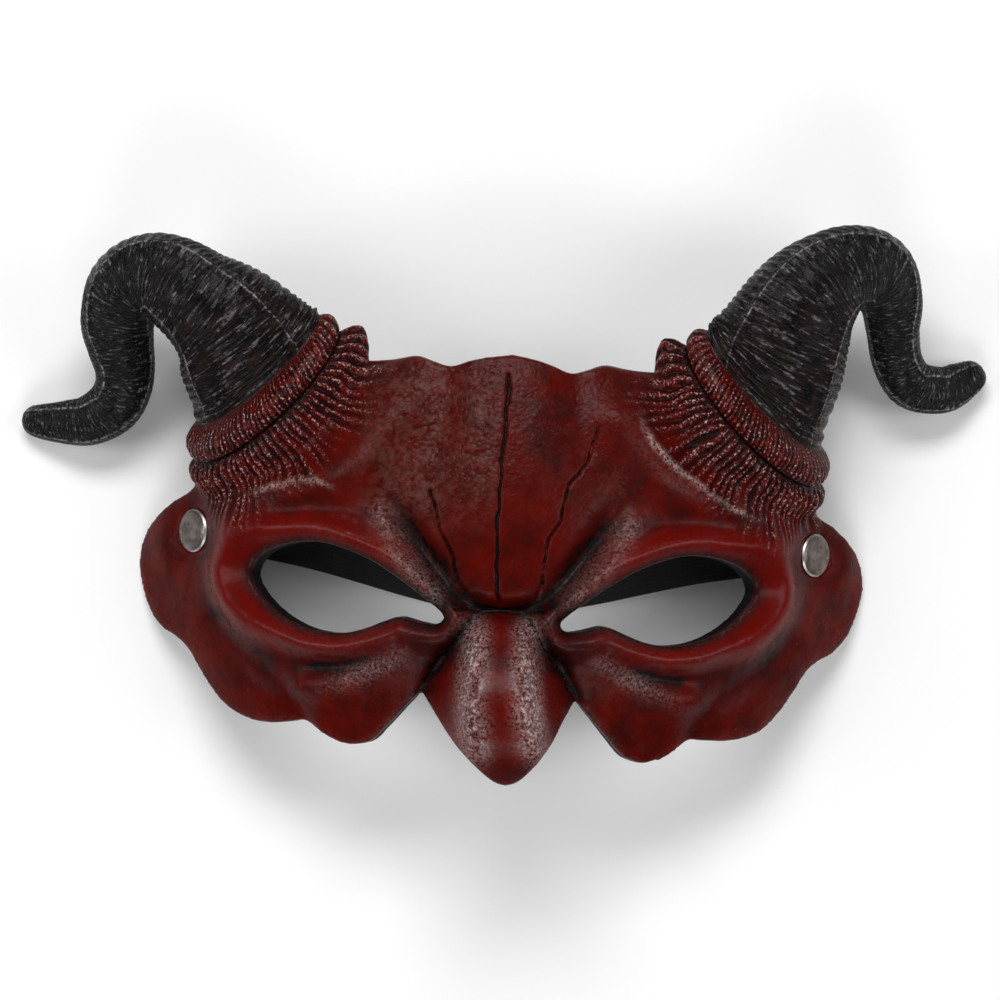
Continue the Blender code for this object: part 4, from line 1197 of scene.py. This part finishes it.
def fluteGroup():
    # crisp slits between the flutes, painted dark as shade, and light caught by the flutes' tops, a painted
    # highlight
    graph, given, leave = groupOf("fluteMarks", ("Flute", "Band"), ("Slit", "Top"))
    place, band = given["Vector"], given["Band"]
    sway = graph.minus(graph.noise(place, 620.0, 4.0, 0.6), 0.5)
    count = graph.plus(given["Flute"], sway)
    wave = graph.math("ABSOLUTE", graph.math("SINE", graph.times(count, math.pi)))
    width = graph.ramp(graph.noise(place, 330.0, 3.0), 0.36, 0.62, 0.16, 0.95)
    slit = graph.minus(1.0, graph.math("DIVIDE", wave, width), clamp=True)
    slit = graph.ramp(slit, 0.0, 0.28)
    speck = graph.ramp(graph.noise(place, 1300.0, 3.0, 0.65), 0.54, 0.64)
    top = graph.times(graph.ramp(wave, 0.74, 0.97), speck)
    graph.feed(leave, Slit=graph.times(slit, band), Top=graph.times(top, band))
    return graph.tree


# the darkest colour serves the wash and the painted shade, the palest one the painted highlights
paintLook = {
    "red": (0.092, 0.0028, 0.0010),
    "deepRed": (0.038, 0.0016, 0.0008),
    "lidRed": (0.120, 0.0020, 0.0007),
    "washAndShade": (0.0034, 0.0022, 0.0024),
    "greyRed": (0.118, 0.036, 0.028),
    "highlightColor": (0.700, 0.500, 0.475),
    "bareFoam": (0.0030, 0.0027, 0.0030),
}


def paintedFoam(skin, flutes):
    material, graph, shader = newMaterial("paintedFoam")
    times, plus, minus, most, mix = graph.times, graph.plus, graph.minus, graph.most, graph.mix
    place = graph.place()
    washAndShade, paintedHighlight, lid, pebble, grey, bare = (graph.mask(name) for name in (
        "washAndShade", "paintedHighlight", "lid", "pebble", "grey", "bare"))
    cloud = graph.ramp(graph.noise(place, 95.0, 5.0), 0.36, 0.66)
    speck = graph.ramp(graph.noise(place, 520.0, 4.0, 0.65), 0.40, 0.62)
    patch = graph.ramp(graph.noise(place, 300.0, 5.0, 0.7), 0.40, 0.58)
    highlightBreakup = graph.ramp(graph.noise(place, 1100.0, 3.0, 0.7), 0.40, 0.58)
    cast = graph.group(skin, Vector=place, Grain=0.30, Pebble=pebble, Pinholes=0.5)
    fluted = graph.group(flutes, Vector=place, Flute=graph.mask("flute"), Band=graph.mask("band"))

    color = mix(times(cloud, 0.75), paintLook["red"], paintLook["deepRed"])
    color = mix(lid, color, paintLook["lidRed"])
    color = mix(times(grey, patch), color, paintLook["greyRed"])

    # darker: wash and painted shade in the hollows, random dark specks, and painted shade between the
    # pebbles and in the flutes' slits
    depth = times(washAndShade, plus(times(speck, 0.45), 0.72), clamp=True)
    depth = most(depth, times(times(speck, cloud), 0.35))
    grain = times(minus(1.0, cast["Crown"]), pebble)
    depth = most(depth, times(grain, 0.62))
    depth = most(depth, times(fluted["Slit"], 0.92))
    color = mix(depth, color, paintLook["washAndShade"])

    # painted highlights on the pebbles' tops along the ridges, on the flutes' tops and along the brows
    tops = most(cast["Crown"], minus(1.0, pebble))
    glint = times(times(times(paintedHighlight, highlightBreakup), tops), 0.72)
    glint = most(glint, times(fluted["Top"], 0.62))
    glint = most(glint, times(times(highlightBreakup, 0.62), graph.mask("glint")))
    color = mix(glint, color, paintLook["highlightColor"])

    crack = graph.ramp(plus(graph.mask("crack"), times(speck, 0.16)), 0.22, 0.52, 1.0, 0.0)
    color = mix(times(crack, 0.95), color, paintLook["washAndShade"])
    color = mix(times(cast["Hollow"], 0.7), color, paintLook["washAndShade"])
    color = mix(bare, color, paintLook["bareFoam"])

    rough = plus(plus(times(speck, 0.12), 0.24), times(depth, 0.08))
    rough = plus(rough, times(bare, 0.30), clamp=True)
    graph.feed(shader, Base_Color=color, Roughness=rough, Specular_IOR_Level=0.07,
               Coat_Weight=times(graph.mask("gloss"), 0.55), Coat_Roughness=0.20)
    height = minus(minus(cast["Height"], times(crack, 2.0)), times(fluted["Slit"], 2.2))
    graph.bump(shader, height, 0.7, 0.00036)
    return material


hornPaint = {
    "black": (0.0036, 0.0031, 0.0037),
    "dusty": (0.017, 0.015, 0.017),
    "deep": (0.0010, 0.0009, 0.0010),
    "rust": (0.026, 0.0040, 0.0034),
    "worn": (0.520, 0.480, 0.495),
}


def blackHorn(skin, flutes):
    material, graph, shader = newMaterial("blackHorn")
    times, plus, minus, most, mix = graph.times, graph.plus, graph.minus, graph.most, graph.mix
    place = graph.place()
    washAndShade, paintedHighlight, red = (graph.mask(name) for name in ("washAndShade", "paintedHighlight", "red"))
    drawn = graph.node("ShaderNodeVectorMath", operation="MULTIPLY")
    graph.feed(drawn, in0=graph.mask("spot", "Vector"), in1=(0.15, 0.15, 1.0))
    drawn = drawn.outputs[0]
    lines = minus(graph.noise(drawn, 520.0, 3.0, 0.62), 0.5)
    wrinkle = graph.ramp(graph.math("ABSOLUTE", lines), 0.0, 0.045, 1.0, 0.0)
    thread = graph.ramp(graph.noise(drawn, 1500.0, 3.0, 0.6), 0.36, 0.64)
    cloud = graph.ramp(graph.noise(place, 160.0, 5.0), 0.35, 0.68)
    streak = graph.ramp(graph.noise(drawn, 1250.0, 4.0, 0.7), 0.535, 0.61)
    speck = graph.ramp(graph.noise(place, 700.0, 4.0, 0.7), 0.42, 0.60)
    cast = graph.group(skin, Vector=place, Grain=0.45, Pebble=0.0, Pinholes=0.3)
    fluted = graph.group(flutes, Vector=place, Flute=graph.mask("flute"), Band=graph.mask("band"))

    color = mix(times(cloud, 0.18), hornPaint["black"], hornPaint["dusty"])
    color = mix(times(times(graph.mask("root"), cloud), 0.45), color, hornPaint["rust"])
    # painted glints in streaks along the wrinkles, and lighter along the seam ridges
    worn = times(times(plus(times(paintedHighlight, 0.30), 0.28), speck), streak)
    seam = graph.ramp(graph.mask("seam"), 0.00015, 0.00050, 1.0, 0.0)
    worn = most(worn, times(times(seam, speck), 0.5))
    color = mix(worn, color, hornPaint["worn"])
    # painted shade in the wrinkles and the hollows
    color = mix(most(washAndShade, times(wrinkle, 0.85)), color, hornPaint["deep"])

    paint = mix(times(cloud, 0.8), paintLook["red"], paintLook["deepRed"])
    # painted shade in the slits and in the creases at the band's edges, painted highlights on the flutes'
    # tops
    gloom = most(fluted["Slit"], graph.mask("notch"), clamp=True)
    paint = mix(times(gloom, 0.94), paint, paintLook["washAndShade"])
    paint = mix(times(fluted["Top"], 0.62), paint, paintLook["highlightColor"])
    color = mix(red, color, paint)

    rough = plus(times(cloud, 0.12), 0.23)
    graph.feed(shader, Base_Color=color, Roughness=rough, Specular_IOR_Level=0.12)
    folds = minus(times(thread, 0.5), times(wrinkle, 1.2))
    height = plus(times(folds, minus(1.0, red)), cast["Height"])
    height = minus(height, times(fluted["Slit"], 2.2))
    graph.bump(shader, height, 0.85, 0.00026)
    return material


nickelLook = {"light": (0.200, 0.170, 0.155), "dull": (0.085, 0.070, 0.062), "rim": (0.55, 0.53, 0.51)}


def wornNickel():
    material, graph, shader = newMaterial("wornNickel")
    place = graph.place()
    blotch = graph.ramp(graph.noise(place, 330.0, 5.0, 0.6), 0.35, 0.68)
    color = graph.mix(blotch, nickelLook["light"], nickelLook["dull"])
    # painted highlight on the rounded rim of the cap
    color = graph.mix(graph.mask("rim"), color, nickelLook["rim"])
    rough = graph.plus(graph.times(blotch, 0.20), 0.30)
    graph.feed(shader, Base_Color=color, Metallic=1.0, Roughness=rough)
    graph.bump(shader, graph.noise(place, 1400.0, 4.0, 0.7), 0.25, 0.00008)
    return material


elasticLook = {"low": (0.0022, 0.0022, 0.0024), "high": (0.0095, 0.0093, 0.0100),
               "weftPitch": 0.0011, "warpPitch": 0.0013}


def wovenElastic():
    material, graph, shader = newMaterial("wovenElastic")
    split = graph.node("ShaderNodeSeparateXYZ")
    graph.feed(split, in0=graph.node("ShaderNodeUVMap", uv_map="weave").outputs[0])
    weft, warp = (graph.math("SINE", graph.times(split.outputs[index], 2 * math.pi / elasticLook[pitch]))
                  for index, pitch in ((0, "weftPitch"), (1, "warpPitch")))
    height = graph.plus(graph.times(graph.times(weft, warp), 0.5), graph.times(warp, 0.4))
    # lighter on the threads' crests and darker between them: painted light and shade
    color = graph.mix(graph.ramp(height, -0.9, 0.9), elasticLook["low"], elasticLook["high"])
    graph.feed(shader, Base_Color=color, Roughness=0.86, Sheen_Weight=0.12)
    graph.bump(shader, height, 0.7, 0.00018)
    return material


# Build the pieces
skin = castSkinGroup()
flutes = fluteGroup()
foam = paintedFoam(skin, flutes)
horn = blackHorn(skin, flutes)
nickel = wornNickel()
elastic = wovenElastic()
print("materials made")

route = strapLine()
band, bandLength = strapMesh(route)
strapUv(band, route)
strap = finishPiece("strapBand", band, elastic, "elastic_strap", lowest=0.0001)
print("strap laid:", round(float(bandLength), 4), "m")

face = faceCasting()
maskFace(face)
finishPiece("faceCasting", face, foam, "mask")

for side, name in ((-1, "hornLeft"), (1, "hornRight")):
    mesh = hornMesh(side)
    maskHorn(mesh)
    finishPiece(name, mesh, horn, "mask")

for side, name, node in ((-1, "rivetCapLeft", "rivet_left"), (1, "rivetCapRight", "rivet_right")):
    finishPiece(name, rivetMesh(side), nickel, node, lowest=-1)


# Floor and light
stageLook = {"floor": (0.94, 0.94, 0.94), "world": 0.16}


def addFloor():
    bm = bmesh.new()
    bmesh.ops.create_grid(bm, x_segments=1, y_segments=1, size=4.0)
    floor = addPiece("floor", meshFrom("floor", bm))
    material, graph, shader = newMaterial("paleFloor")
    graph.feed(shader, Base_Color=(*stageLook["floor"], 1.0), Roughness=0.9)
    floor.data.materials.append(material)
    floor.location = (0, 0, -0.0002)


def addLight(name, place, target, size, power):
    data = bpy.data.lights.new(name, "AREA")
    data.shape = "RECTANGLE"
    data.size, data.size_y = size
    data.energy = power
    light = bpy.data.objects.new(name, data)
    bpy.context.scene.collection.objects.link(light)
    light.location = place
    aim = np.array(target) - np.array(place)
    flatRun = math.hypot(aim[0], aim[1])
    light.rotation_euler = (math.atan2(flatRun, -aim[2]), 0, math.atan2(aim[1], aim[0]) - math.pi / 2)


addFloor()
world = bpy.data.worlds.new("studio")
bpy.context.scene.world = world
world.use_nodes = True
world.node_tree.nodes["Background"].inputs[0].default_value = (1, 1, 1, 1)
world.node_tree.nodes["Background"].inputs[1].default_value = stageLook["world"]
addLight("keyLight", (-0.15, 1.00, 1.30), (0, 0, 0.05), (0.9, 0.5), 17.5)
addLight("leftLight", (-1.10, 0.00, 0.90), (0, 0, 0.05), (0.5, 0.9), 5.4)
addLight("rightLight", (1.10, 0.00, 0.90), (0, 0, 0.05), (0.5, 0.9), 5.4)
addLight("lowLight", (0.0, -1.10, 1.00), (0, 0, 0.05), (0.9, 0.5), 6.0)
bpy.context.scene.view_settings.view_transform = "Standard"
print("stage lit")
